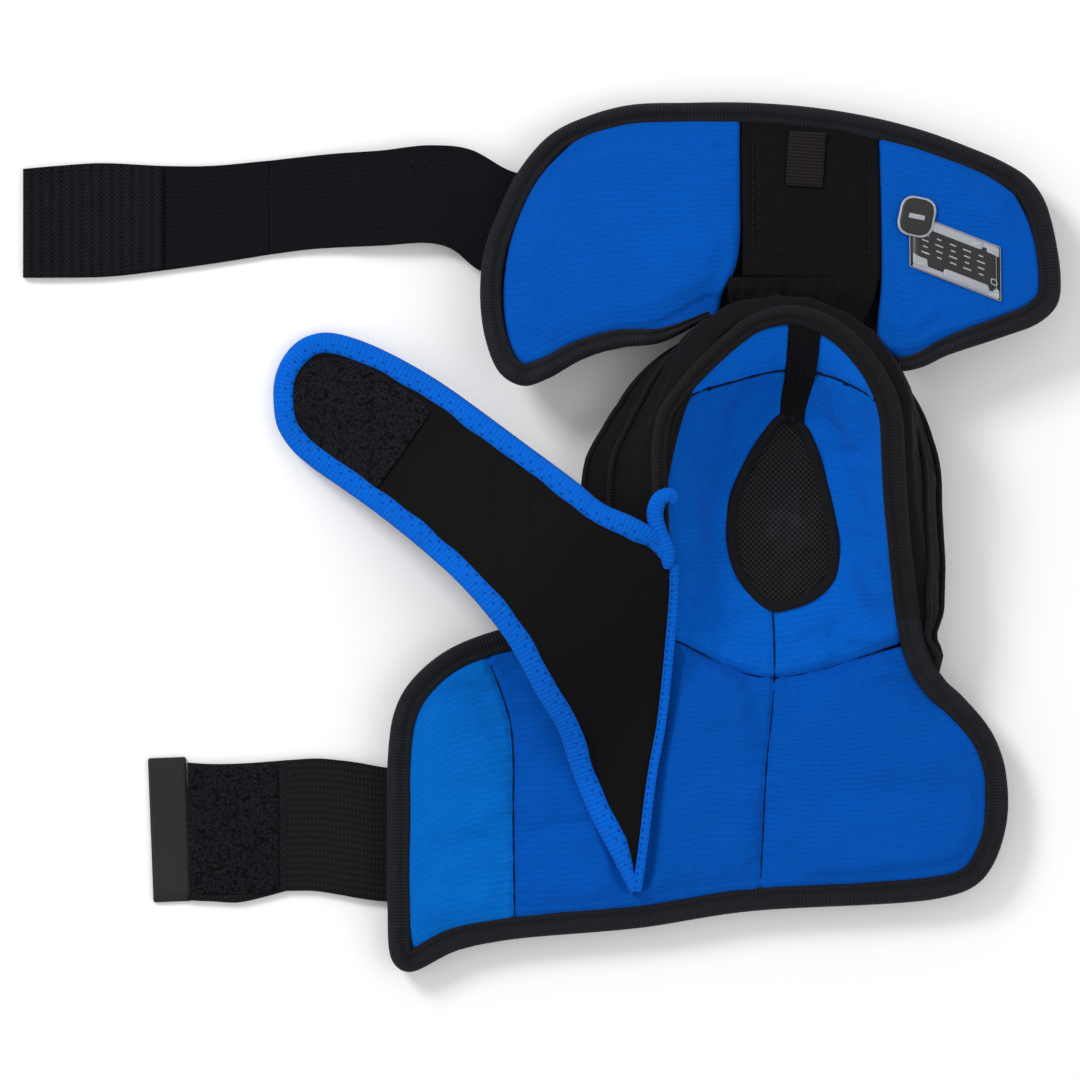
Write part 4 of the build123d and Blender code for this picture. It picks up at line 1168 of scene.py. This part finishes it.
# ------------------------------------------------------------------ bicep guard
centre_top = bicep_sheet(patch(
    [(-9.5, 99), (20, 98), (55.5, 97)], [(55.5, 97), (56, 130), (55, 169)],
    [(-10, 175), (10, 174.5), (35, 171.5), (55, 169)], [(-9.5, 99), (-10, 140), (-10, 175)], 40, 34))
x, y = centre_top[..., 0], centre_top[..., 1]
fence = np.minimum(np.minimum(np.abs(x + 4.5), np.abs(x - 50.5)), np.abs(y - 168 + x * 0.1))
centre_top[..., 2] += -1.7 * np.exp(-((fence / 1.2) ** 2)) + 0.45 * waves(centre_top[..., :2], 22, 66) - 0.6
centre_top = tuck(centre_top.reshape(-1, 3), bicep_run, 10.5, 1.2).reshape(centre_top.shape)
centre = loops_piece("bicep_centre_sheet", fold_over(centre_top, under(centre_top, 8.6)), centre_cloth)
fit(refine(centre, 1), "bicep_guard", "black_nylon", "bicep_centre_panel", "bicep_foam")
for side, x_line in (("left", -4.5), ("right", 50.5)):
    line = bicep_sheet(np.stack([np.full(40, x_line), np.linspace(101, 164, 40)], -1), -1.1)
    fit(stitches(f"centre_stitches_{side}", line, thread_black, 2.4, 1.3, 0.33), "bicep_guard",
        "black_nylon")

tongue_top = patch([(-12, 79), (8, 82.5), (30, 81.5), (47.5, 77)], [(47.5, 77), (52, 88), (54.4, 99)],
                   [(-17, 99), (20, 99), (54.4, 99)], [(-12, 79), (-16, 88), (-17, 99)], 26, 40)
z = np.interp(tongue_top[..., 1], [80, 90, 94, 99], [29.5, 29.8, 29.6, bicep_plane(99) - 0.4])
z = z + 1.6 * waves(tongue_top[..., :2] * np.array([1, 0.35]), 9,
                    70) * ease((tongue_top[..., 1] - 84) / 6) * 0.7
tongue_top = lifted(tongue_top, z)
tongue = loops_piece("tongue_sheet", fold_over(tongue_top, under(tongue_top, 2.4)), centre_cloth)
fit_bend(refine(tongue, 1), "pad_body", "bicep_guard", (20, 88.5, 30), (20, 97, 30), "black_nylon",
         "tongue", "tongue_root")

wide = np.interp(np.arange(len(bicep_run)), [0, 24, 60, 200, 360, 395, 419],
                 [3, 8.0, 10.5, 10.0, 11, 9, 6.5])
loops = edge_roll(bicep_run, bicep_plane(bicep_run[:, 1]), np.full(len(bicep_run), 16.6), wide, 52)
loops[..., 2] = np.maximum(loops[..., 2], 0.3)
bicep_edge = loops_piece("bicep_edge_tape", loops, edge_black)
refine(bicep_edge, 1)
tape_points = read(bicep_edge)
# the tape is made paler toward its top, in patches
mark(bicep_edge, "worn", ease((tape_points[:, 2] - bicep_plane(tape_points[:, 1]) + 0.2) / 1.8)
     * (0.4 + 0.5 * waves(tape_points[:, :2], 12, 78)))
fit(bicep_edge, "bicep_guard", "black_tape", "bicep_tape")

cover_sheet = patch(
    [(-112, 52), (-88, 61), (-52, 69.5), (-24, 80.5), (8, 94.5), (40, 81.5), (60, 65), (68, 57), (98, 68),
     (133, 83)],
    [(133, 83), (137, 98), (132.5, 126), (122, 144)],
    [(-96, 163), (-80, 171), (-60, 177), (-6, 178.5), (54, 171), (98, 157), (122, 144)],
    [(-112, 52), (-127, 70), (-129, 98), (-120, 135), (-96, 163)], 40, 80)[..., :2]
base = bicep_plane(cover_sheet[..., 1]) - bicep_thick
bulge = 0.8 * plate_relief(cover_sheet, (0, 131), 74, 27, 18) + 0.25 * waves(cover_sheet, 26, 62)
outer = lifted(cover_sheet, base - np.maximum(bulge, -0.2) + 0.2)
outer[..., 2] = np.maximum(outer[..., 2], 0.3)
cover = loops_piece("bicep_outer_cover", fold_over(under(outer, -4.6), outer), cover_cloth)
fit(cover, "bicep_guard", "black_nylon", "bicep_cover", "bicep_plate")


def flat_patch(name, middle, size, degrees, height, thick, look, cells=(24, 24), relief=0.0, seed=1,
               corner=1.5, upright=None):
    """Thin slab with rounded corners and a soft edge, turned in plan: a grid whose border is drawn
    on to a rounded rectangle, with a shallow ripple. height is a function of the plan places, and
    upright turns the second axis by itself, which slants the patch."""
    u, v = np.meshgrid(np.linspace(-1, 1, cells[0]), np.linspace(-1, 1, cells[1]), indexing="ij")
    half = np.array(size) / 2
    plan = np.stack([u, v], -1) * half
    over = np.maximum(np.abs(plan) - (half - corner), 0)
    length = np.linalg.norm(over, axis=-1, keepdims=True)
    pull_in = np.where(length > corner, corner / np.maximum(length, 1e-9), 1)
    plan = np.sign(plan) * (np.minimum(np.abs(plan), half - corner) + over * pull_in)
    angle = math.radians(degrees)
    lean = angle if upright is None else math.radians(upright)
    spin = np.array([[math.cos(angle), math.sin(angle)], [-math.sin(lean), math.cos(lean)]])
    plan = plan @ spin + np.array(middle)
    edge = np.minimum(1 - np.abs(u), 1 - np.abs(v)) * half.min()
    soft_edge = 0.5 * thick * np.exp(-((edge / min(0.8, 0.12 * half.min())) ** 2))
    top = height(plan) + thick - soft_edge + relief * waves(plan, 15, seed)
    return loops_piece(name, fold_over(lifted(plan, top), lifted(plan, height(plan))), look)


def on_bicep(lift):
    """Height over the bicep lining at plan places."""
    return lambda plan: bicep_plane(plan[..., 1]) + lift


def under_bicep(lift):
    """Height under the bicep cover at plan places."""
    return lambda plan: bicep_plane(plan[..., 1]) - bicep_thick + lift


ribbon_piece = flat_patch("ribbon_tab_loop", (20.5, 155), (26, 17.5), 86, on_bicep(0.3), 1.0, ribbon,
                          (28, 20), 0.12, 4, 0.8)
fit_bend(ribbon_piece, "bicep_guard", "ribbon_tab", (20.8, 168.2, 18), (20.7, 163.5, 18), "label_print",
         "ribbon_tab")

label = flat_patch("size_label_base", (90.3, 108.6), (46, 26), -21.5, on_bicep(0.9), 0.45, label_silver,
                   (40, 24), 0.0, 4, 0.6, 0)
fit(label, "bicep_guard", "label_print", "size_label")
label_turn = math.radians(-21.5)
label_axes = np.array([[math.cos(label_turn), math.sin(label_turn)], [0, 1.0]])


def label_bit(name, spot, size, lift, look, corner=0.3):
    """Plain printed field of the label: a thin slab in the label's own slanted axes."""
    spot = np.array(spot) @ label_axes + np.array([90.3, 108.6])
    bit = flat_patch(name, spot, size, -21.5, on_bicep(lift), 0.45, look, (12, 6), 0.0, 4, corner, 0)
    return fit(bit, "bicep_guard", "label_print")


label_bit("size_label_field", (0, 0), (45.2, 25.2), 1.0, label_black)
for name, spot, size in (("top", (0.5, 9.8), (28, 4.4)), ("corner", (19, 9.8), (6.4, 4.4)),
                         ("foot", (5.5, -9.4), (24, 4.8)),
                         ("cell", (-17.5, -8.6), (7.6, 5.4))):
    label_bit(f"size_label_{name}", spot, size, 1.1, label_silver)
for i in range(5):
    for j in range(4):
        label_bit(f"size_label_bar_{i}_{j}", (-15 + 7 * i, 5.0 - 2.9 * j), (4.6 - (i * 2 + j) % 3, 0.9),
                  1.1, label_silver)
label_bit("size_label_mark", (19.4, -5), (3.6, 3.6), 1.1, label_silver, 1.7)
label_bit("size_label_mark_field", (19.4, -5), (2.6, 2.6), 1.2, label_black, 1.2)
for name, size, lift, look, corner in (("rim", (17, 19), 1.5, label_silver, 6.0),
                                       ("field", (15.2, 17.2), 1.65, label_black, 5.4),
                                       ("stripe", (8, 2.4), 1.8, label_silver, 0.6)):
    badge = flat_patch(f"size_label_badge_{name}", (72.5, 127.5), size, -12, on_bicep(lift), 0.45, look,
                       (22, 22), 0.0, 4, corner)
    fit(badge, "bicep_guard", "label_print")

bit = flat_patch("bicep_loop_pad", (86, 116), (42, 50), -22, under_bicep(-1.5), 2.2, loop_face, (30, 34),
                 0.1, 6, 2)
fit(bit, "bicep_guard", "loop_pile", "bicep_loop_patch")
bit = flat_patch("forearm_loop_pad", (64, -147), (44, 60), 0,
                 lambda plan: forearm_plane(plan[..., 1]) - forearm_thick - 1.5, 2.2, loop_face, (30, 40),
                 0.1, 7, 2)
fit(bit, "pad_body", "loop_pile", "forearm_loop_patch")


# ------------------------------------------------------------------ straps
def level(z):
    """The same height at every plan place."""
    return lambda plan: z + 0 * plan[..., 0]


def ribbon_grid(low_edge, high_edge, height, count, cells, thick, ripple, seed, edge_roll_by=0.25):
    """Flat strap between two plan edges: rows along it, even cells across, its face at a height
    given along its length, with long waves across and a slight thickening at both selvedges."""
    low_edge, high_edge = curve(low_edge, count), curve(high_edge, count)
    v = np.linspace(0, 1, cells)[None, :, None]
    plan = low_edge[:, None] * (1 - v) + high_edge[:, None] * v
    z = height(plan) + ripple * waves(plan * np.array([1, 0.22]), 26, seed)
    selvedge = edge_roll_by * (np.exp(-((v[..., 0] / 0.03) ** 2))
                               + np.exp(-(((1 - v[..., 0]) / 0.03) ** 2)))
    top = lifted(plan, z + selvedge)
    return top, under(top, thick + 2 * selvedge)


def strap(name, low_edge, high_edge, height, grid, ripple, seed, look, bend, *nodes, clear=-math.inf):
    """One length of strap. clear is the lowest its underside lies."""
    top, low = ribbon_grid(low_edge, high_edge, height, *grid, strap_thick, ripple, seed)
    low[..., 2] = np.maximum(low[..., 2], clear)
    fit_bend(loops_piece(name, fold_over(top, low), look), *bend, "black_elastic", *nodes)


def strap_height(knots):
    """Height along -X from knots of (x, z)."""
    line = curve(knots, 160)
    return lambda plan: np.interp(-plan[..., 0], -line[:, 0], line[:, 1])


strap("bicep_strap_near_elastic",
      [(-112, 99), (-133, 103), (-146, 113), (-156, 116), (-180, 115), (-212.8, 113.5), (-233, 111)],
      [(-100, 147), (-118, 150), (-138, 160.5), (-156.3, 162.4), (-180, 160), (-204, 158.5), (-233, 155.5)],
      strap_height([(-110, 9.6), (-128, 8.6), (-140, 7.6), (-160, 8.6), (-185, 6.6), (-210, 3.8),
                    (-233, 2.5)]),
      (150, 40), 0.3, 81, band, ("bicep_guard", "bicep_strap_near", (-132, 131, 8), (-148, 132, 8)),
      "bicep_strap_inner", "bicep_strap_anchor")
strap("bicep_strap_end_elastic",
      [(-233, 111), (-258, 107), (-283, 103.5), (-310, 100.5), (-334, 100), (-350, 100)],
      [(-233, 155.5), (-261, 153), (-283, 153), (-313.5, 154.3), (-334, 153), (-350, 151.6)],
      level(2.35), (120, 40), 0.25, 82, band,
      ("bicep_strap_near", "bicep_strap_end", (-233, 131, 2), (-246, 131, 2)), "bicep_strap_outer",
      clear=0.02)
top, low = ribbon_grid([(-349.6, 100.4), (-334, 100.2), (-310, 101), (-283.5, 104.2)],
                       [(-349.6, 151.2), (-334, 152.6), (-313.5, 153.6), (-283.5, 152.3)],
                       level(3.7), 90, 60, 1.3, 0.2, 83, 0.0)
piece = loops_piece("bicep_strap_patch_knit", fold_over(top, low), patch_knit)
fit(piece, "bicep_strap_end", "hook_tape", "bicep_strap_patch")
for name, line in (("a", [(-285.5, 106), (-285.5, 150)]), ("b", [(-347.5, 102.5), (-347.5, 149.2)]),
                   ("c", [(-347, 102.2), (-334, 102), (-310, 103), (-286, 105.8)]),
                   ("d", [(-347, 149.4), (-334, 150.8), (-313, 151.8), (-286, 150.5)])):
    row = lifted(curve(line, 80), 3.95)
    fit(stitches(f"bicep_patch_stitches_{name}", row, thread_black, 2.2, 1.5, 0.3), "bicep_strap_end",
        "hook_tape")

strap("wrist_strap_near_elastic",
      [(-150, -195.5), (-177, -196), (-190, -194.5), (-199.5, -192.8), (-212, -191), (-225, -191)],
      [(-150, -133), (-177, -132.5), (-190, -130.3), (-200, -129), (-210, -128.2), (-225, -129)],
      strap_height([(-150, 2.9), (-165, 2.9), (-178, 3.3), (-190, 3.6), (-205, 3.2), (-215, 2.6),
                    (-225, 2.4)]),
      (100, 50), 0.28, 84, band_wide, ("pad_body", "wrist_strap_near", (-174, -163, 3), (-188, -163, 3)),
      "wrist_strap_inner", "wrist_strap_anchor", clear=0.05)
strap("wrist_strap_end_elastic",
      [(-225, -191), (-236, -194), (-248, -196.5), (-260, -196), (-272, -195.5)],
      [(-225, -129), (-240, -130.2), (-252, -130.8), (-262, -130.8), (-272, -130.2)],
      level(2.3), (70, 50), 0.15, 85, band_wide,
      ("wrist_strap_near", "wrist_strap_end", (-225, -161, 2), (-237, -161, 2)), "wrist_strap_outer",
      clear=0.02)
bit = flat_patch("wrist_hook_pad", (-249.5, -161.5), (41.5, 61.5), 0.6, level(2.5), 1.35,
                 hook_face, (50, 70), 0.12, 9, 5.0)
fit(bit, "wrist_strap_end", "hook_tape", "wrist_strap_patch")
bit = flat_patch("wrist_pull_tab_sheet", (-280.5, -162), (18, 68.4), 2.2, level(0.1), 2.7,
                 tab_rubber, (20, 50), 0.12, 10, 0.8)
fit(bit, "wrist_strap_end", "rubber_tab", "wrist_pull_tab")
row = lifted(np.linspace((-270.6, -193), (-270.0, -131), 50), 3.05)
fit(stitches("wrist_tab_stitches", row, thread_black, 2.4, 1.2, 0.3), "wrist_strap_end", "hook_tape")

# ------------------------------------------------------------------ closing wrap
wrap_low = curve([(-60, -190), (-68, -170), (-80, -145), (-92.5, -113), (-111, -80), (-129, -57),
                  (-148.5, -36.5), (-183, -8),
                  (-207, 12), (-221, 26)], 120)
wrap_high = curve([(-43.5, -34), (-52, -26), (-80, -10.5), (-110, 11), (-151, 42), (-180, 59), (-198, 67.5),
                   (-209, 69)], 120)
wrap_root = [(-60, -190), (-57.5, -175), (-52.7, -136), (-48, -109), (-44.2, -70), (-42.6, -50),
             (-43.5, -34)]
wrap_tip = [(-221, 26), (-226.5, 40), (-226, 54), (-219.5, 64.5), (-209, 69)]
face = np.swapaxes(patch(wrap_low, wrap_tip, wrap_high, wrap_root, 60, 200), 0, 1)
z = wrap_height(face) - 0.6 + 0.35 * waves(face, 30, 91)
for crease, depth, wide in ((np.array([(-120, -40), (-126, 4), (-118, 20)]), 0.8, 3.5),
                            (curve([(-86, -122), (-66, -96), (-49, -66)], 30), 1.0, 4.5)):
    dent = beside(face.reshape(-1, 2), crease)[0].reshape(z.shape)
    z = z - depth * np.exp(-((dent / wide) ** 2))
face = lifted(face, z)
run = ((face[..., :2] - wrap_foot) @ wrap_along).mean(1)
cut = int(np.searchsorted(run, wrap_split))
root_bend = ((-49.5, -100, 25), (-67.5, -101.5, 25))
tip_bend = (tuple(wrap_foot + wrap_along * 98) + (52.0,), tuple(wrap_foot + wrap_along * 120) + (48.0,))
near_bodies = ("pad_body", "wrap_near", *root_bend)
tip_bodies = ("wrap_near", "wrap_end", *tip_bend)
for name, cloth, bodies, node, flat_size in (
        ("wrap_near_face", face[:cut + 1], near_bodies, "wrap_inner", (0.165, 0.11)),
        ("wrap_end_face", face[cut:], tip_bodies, "wrap_outer", (0.09, 0.135))):
    piece = loops_piece(name, fold_over(cloth, under(cloth, 3.2)), wrap_face)
    fit_bend(piece, *bodies, "neoprene", node)

tape_section = np.array([(10.0, -0.6), (9.4, 0.5), (7.6, 0.9), (4.8, 1.1), (2.0, 0.8), (0.3, -0.4),
                         (-0.1, -2.3), (0.4, -4.0),
                         (2.2, -4.9), (4.8, -5.1), (7.6, -5.0), (9.6, -4.4), (10.0, -3.4), (10.2, -2.0)])
wrap_edge_run = curve([
    (-62, -191), (-71.2, -173), (-82.2, -152), (-90.2, -131.6), (-96.4, -113), (-105.4, -97.8), (-116, -78),
    (-123.5, -66.5),
    (-140.6, -46.5), (-158.2, -30.4), (-180, -13), (-199.5, 0.9), (-212, 9.5), (-222.3, 18.5), (-229, 29),
    (-230.9, 40), (-230.4, 52),
    (-226, 62.7), (-218.5, 70.3), (-209, 73.6), (-200.4, 73.1), (-184.8, 68), (-165, 58), (-148.2, 47.5),
    (-115, 23),
    (-86.9, 1.9), (-75.5, -7.5), (-60, -14.5), (-50, -21), (-43.5, -31)], 500)
taper = np.interp(np.arange(500), [0, 22, 480, 499], [0.45, 1, 1, 0.6])[:, None, None]
sections = tape_section[None] * np.concatenate([taper, np.ones_like(taper)], -1)
sections = sections * (1 + 0.05 * waves(wrap_edge_run, 20, 95))[:, None, None]
edge_loops = carry(lifted(wrap_edge_run, wrap_height(wrap_edge_run)), sections)
edge_loops[..., 2] = np.maximum(edge_loops[..., 2], 0.15)
along = (wrap_edge_run - wrap_foot) @ wrap_along
first = int(np.argmax(along > wrap_split))
last = len(along) - int(np.argmax(along[::-1] > wrap_split))
for name, part, bodies, node in (("lower", slice(0, first + 1), near_bodies, "wrap_tape_inner"),
                                 ("upper", slice(last, 500), near_bodies, "wrap_tape_inner"),
                                 ("tip", slice(first, last + 1), tip_bodies, "wrap_tape_outer")):
    tape = edge_loops[part]
    fit_bend(loops_piece(f"wrap_edge_tape_{name}", tape, wrap_edge), *bodies, "blue_tape", node)
    row = tape[:, 3] * 0.15 + tape[:, 2] * 0.85 + np.array([0, 0, 0.1])
    row = row[8:] if name == "lower" else row
    piece = stitches(f"wrap_cover_stitches_{name}", row, thread_blue, 1.7, 1.5, 0.34, row=(1.4, -1.6))
    fit_bend(piece, *bodies, "blue_tape")

hook_low = curve([(-182, -1), (-200, 11.5), (-211, 20.5), (-217.5, 29)], 60)
hook_high = curve([(-155, 37.5), (-176, 51.5), (-194, 60.5), (-205, 62)], 60)
hook = patch(hook_low, [(-217.5, 29), (-221, 40), (-220, 50), (-214, 59.5), (-205, 62)], hook_high,
             [(-182, -1), (-168.5, 18), (-155, 37.5)], 60, 90)
border = np.minimum(np.arange(60)[:, None], 59 - np.arange(60)[:, None]) / 3.0
z = wrap_height(hook) + 0.5 + 0.15 * waves(hook, 9, 97) - 0.7 * np.exp(-border)
hook = lifted(hook, z)
piece = loops_piece("wrap_hook_pad", fold_over(hook, under(hook, 1.4)), hook_face)
fit(piece, "wrap_end", "hook_tape", "wrap_hook_patch")

seam_line = curve([(-43.3, -36), (-43.4, -50), (-44.8, -70), (-48.6, -109), (-53.3, -136), (-58.2, -175),
                   (-60.5, -190)], 220)
seam_path = lifted(seam_line, wrap_height(seam_line) + 0.9)
piece = loops_piece("wrap_root_seam", carry(seam_path + np.array([1.3, 0, 0]), oval(10, 2.3, 1.0, 0.3)),
                    wrap_edge)
fit(piece, "pad_body", "blue_tape")
for name, aside, look in (("inner", 0.2, thread_blue), ("outer", 3.3, thread_navy)):
    row = seam_path[6:] + np.array([aside, 0, 0.62 if name == "inner" else -0.2])
    fit(stitches(f"wrap_root_stitches_{name}", row, look, 2.1, 1.3, 0.3), "pad_body", "blue_tape")
curl_line = curve([(-45.6, -38), (-45.2, -30), (-49.2, -21), (-51.2, -12), (-48.8, -5.2), (-43.8, -3.6),
                   (-42.4, -8.0)], 120)
curl_path = lifted(curl_line, rim_line(curl_line[:, 1]) + 2.4)
swell = np.interp(np.arange(120), [0, 8, 25, 80, 112, 119], [1.4, 3.1, 3.9, 3.9, 3.2, 0.8])[:, None]
piece = loops_piece("wrap_root_curl", carry(curl_path, oval(10, swell, 0.55 * swell)), wrap_edge)
fit(piece, "pad_body", "blue_tape")

# ------------------------------------------------------------------ floor, light and camera
stage_mesh = bpy.data.meshes.new("floor")
stage_mesh.from_pydata([(-3, -3, 0), (3, -3, 0), (3, 3, 0), (-3, 3, 0)], [], [(0, 1, 2, 3)])
floor = bpy.data.objects.new("floor", stage_mesh)
bpy.context.scene.collection.objects.link(floor)
pale = bpy.data.materials.new("pale floor")
pale.use_nodes = True
ground = pale.node_tree
where = wire(ground, "ShaderNodeTexCoord").outputs["Object"]
grain = wire(ground, "ShaderNodeTexNoise", {"Vector": where, "Scale": 3.0}).outputs[0]
tone = wire(ground, "ShaderNodeMix", {0: grain, 6: (0.93, 0.93, 0.93, 1), 7: (0.96, 0.96, 0.96, 1)},
            data_type="RGBA").outputs[2]
ground.links.new(tone, ground.nodes["Principled BSDF"].inputs["Base Color"])
for key, value in (("Roughness", 0.9), ("Specular IOR Level", 0.1)):
    ground.nodes["Principled BSDF"].inputs[key].default_value = value
floor.data.materials.append(pale)
floor.location.z = -0.0004
floor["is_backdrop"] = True

world = bpy.data.worlds.new("studio")
bpy.context.scene.world = world
world.use_nodes = True
world.node_tree.nodes["Background"].inputs["Color"].default_value = (1, 1, 1, 1)
world.node_tree.nodes["Background"].inputs["Strength"].default_value = 0.7


def lamp(name, spot, size, power):
    """Square soft light aimed at the middle of the object."""
    data = bpy.data.lights.new(name, "AREA")
    data.shape, data.size, data.energy = "SQUARE", size, power
    made = bpy.data.objects.new(name, data)
    bpy.context.scene.collection.objects.link(made)
    made.location = spot
    made.rotation_euler = (-Vector(spot)).to_track_quat("-Z", "Y").to_euler()


lamp("key light", (-1.3, 1.3, 1.6), 0.7, 30.0)
lamp("fill light", (1.6, -0.4, 2.0), 1.6, 10.0)

lens = bpy.data.cameras.new("camera")
lens.lens, lens.sensor_width = 182.5, 36.0
lens.clip_end = 20.0
camera = bpy.data.objects.new("camera", lens)
bpy.context.scene.collection.objects.link(camera)
camera.location = (0.0, 0.0, 2.6)
bpy.context.scene.camera = camera
bpy.context.scene.view_settings.view_transform = "Standard"

low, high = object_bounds()
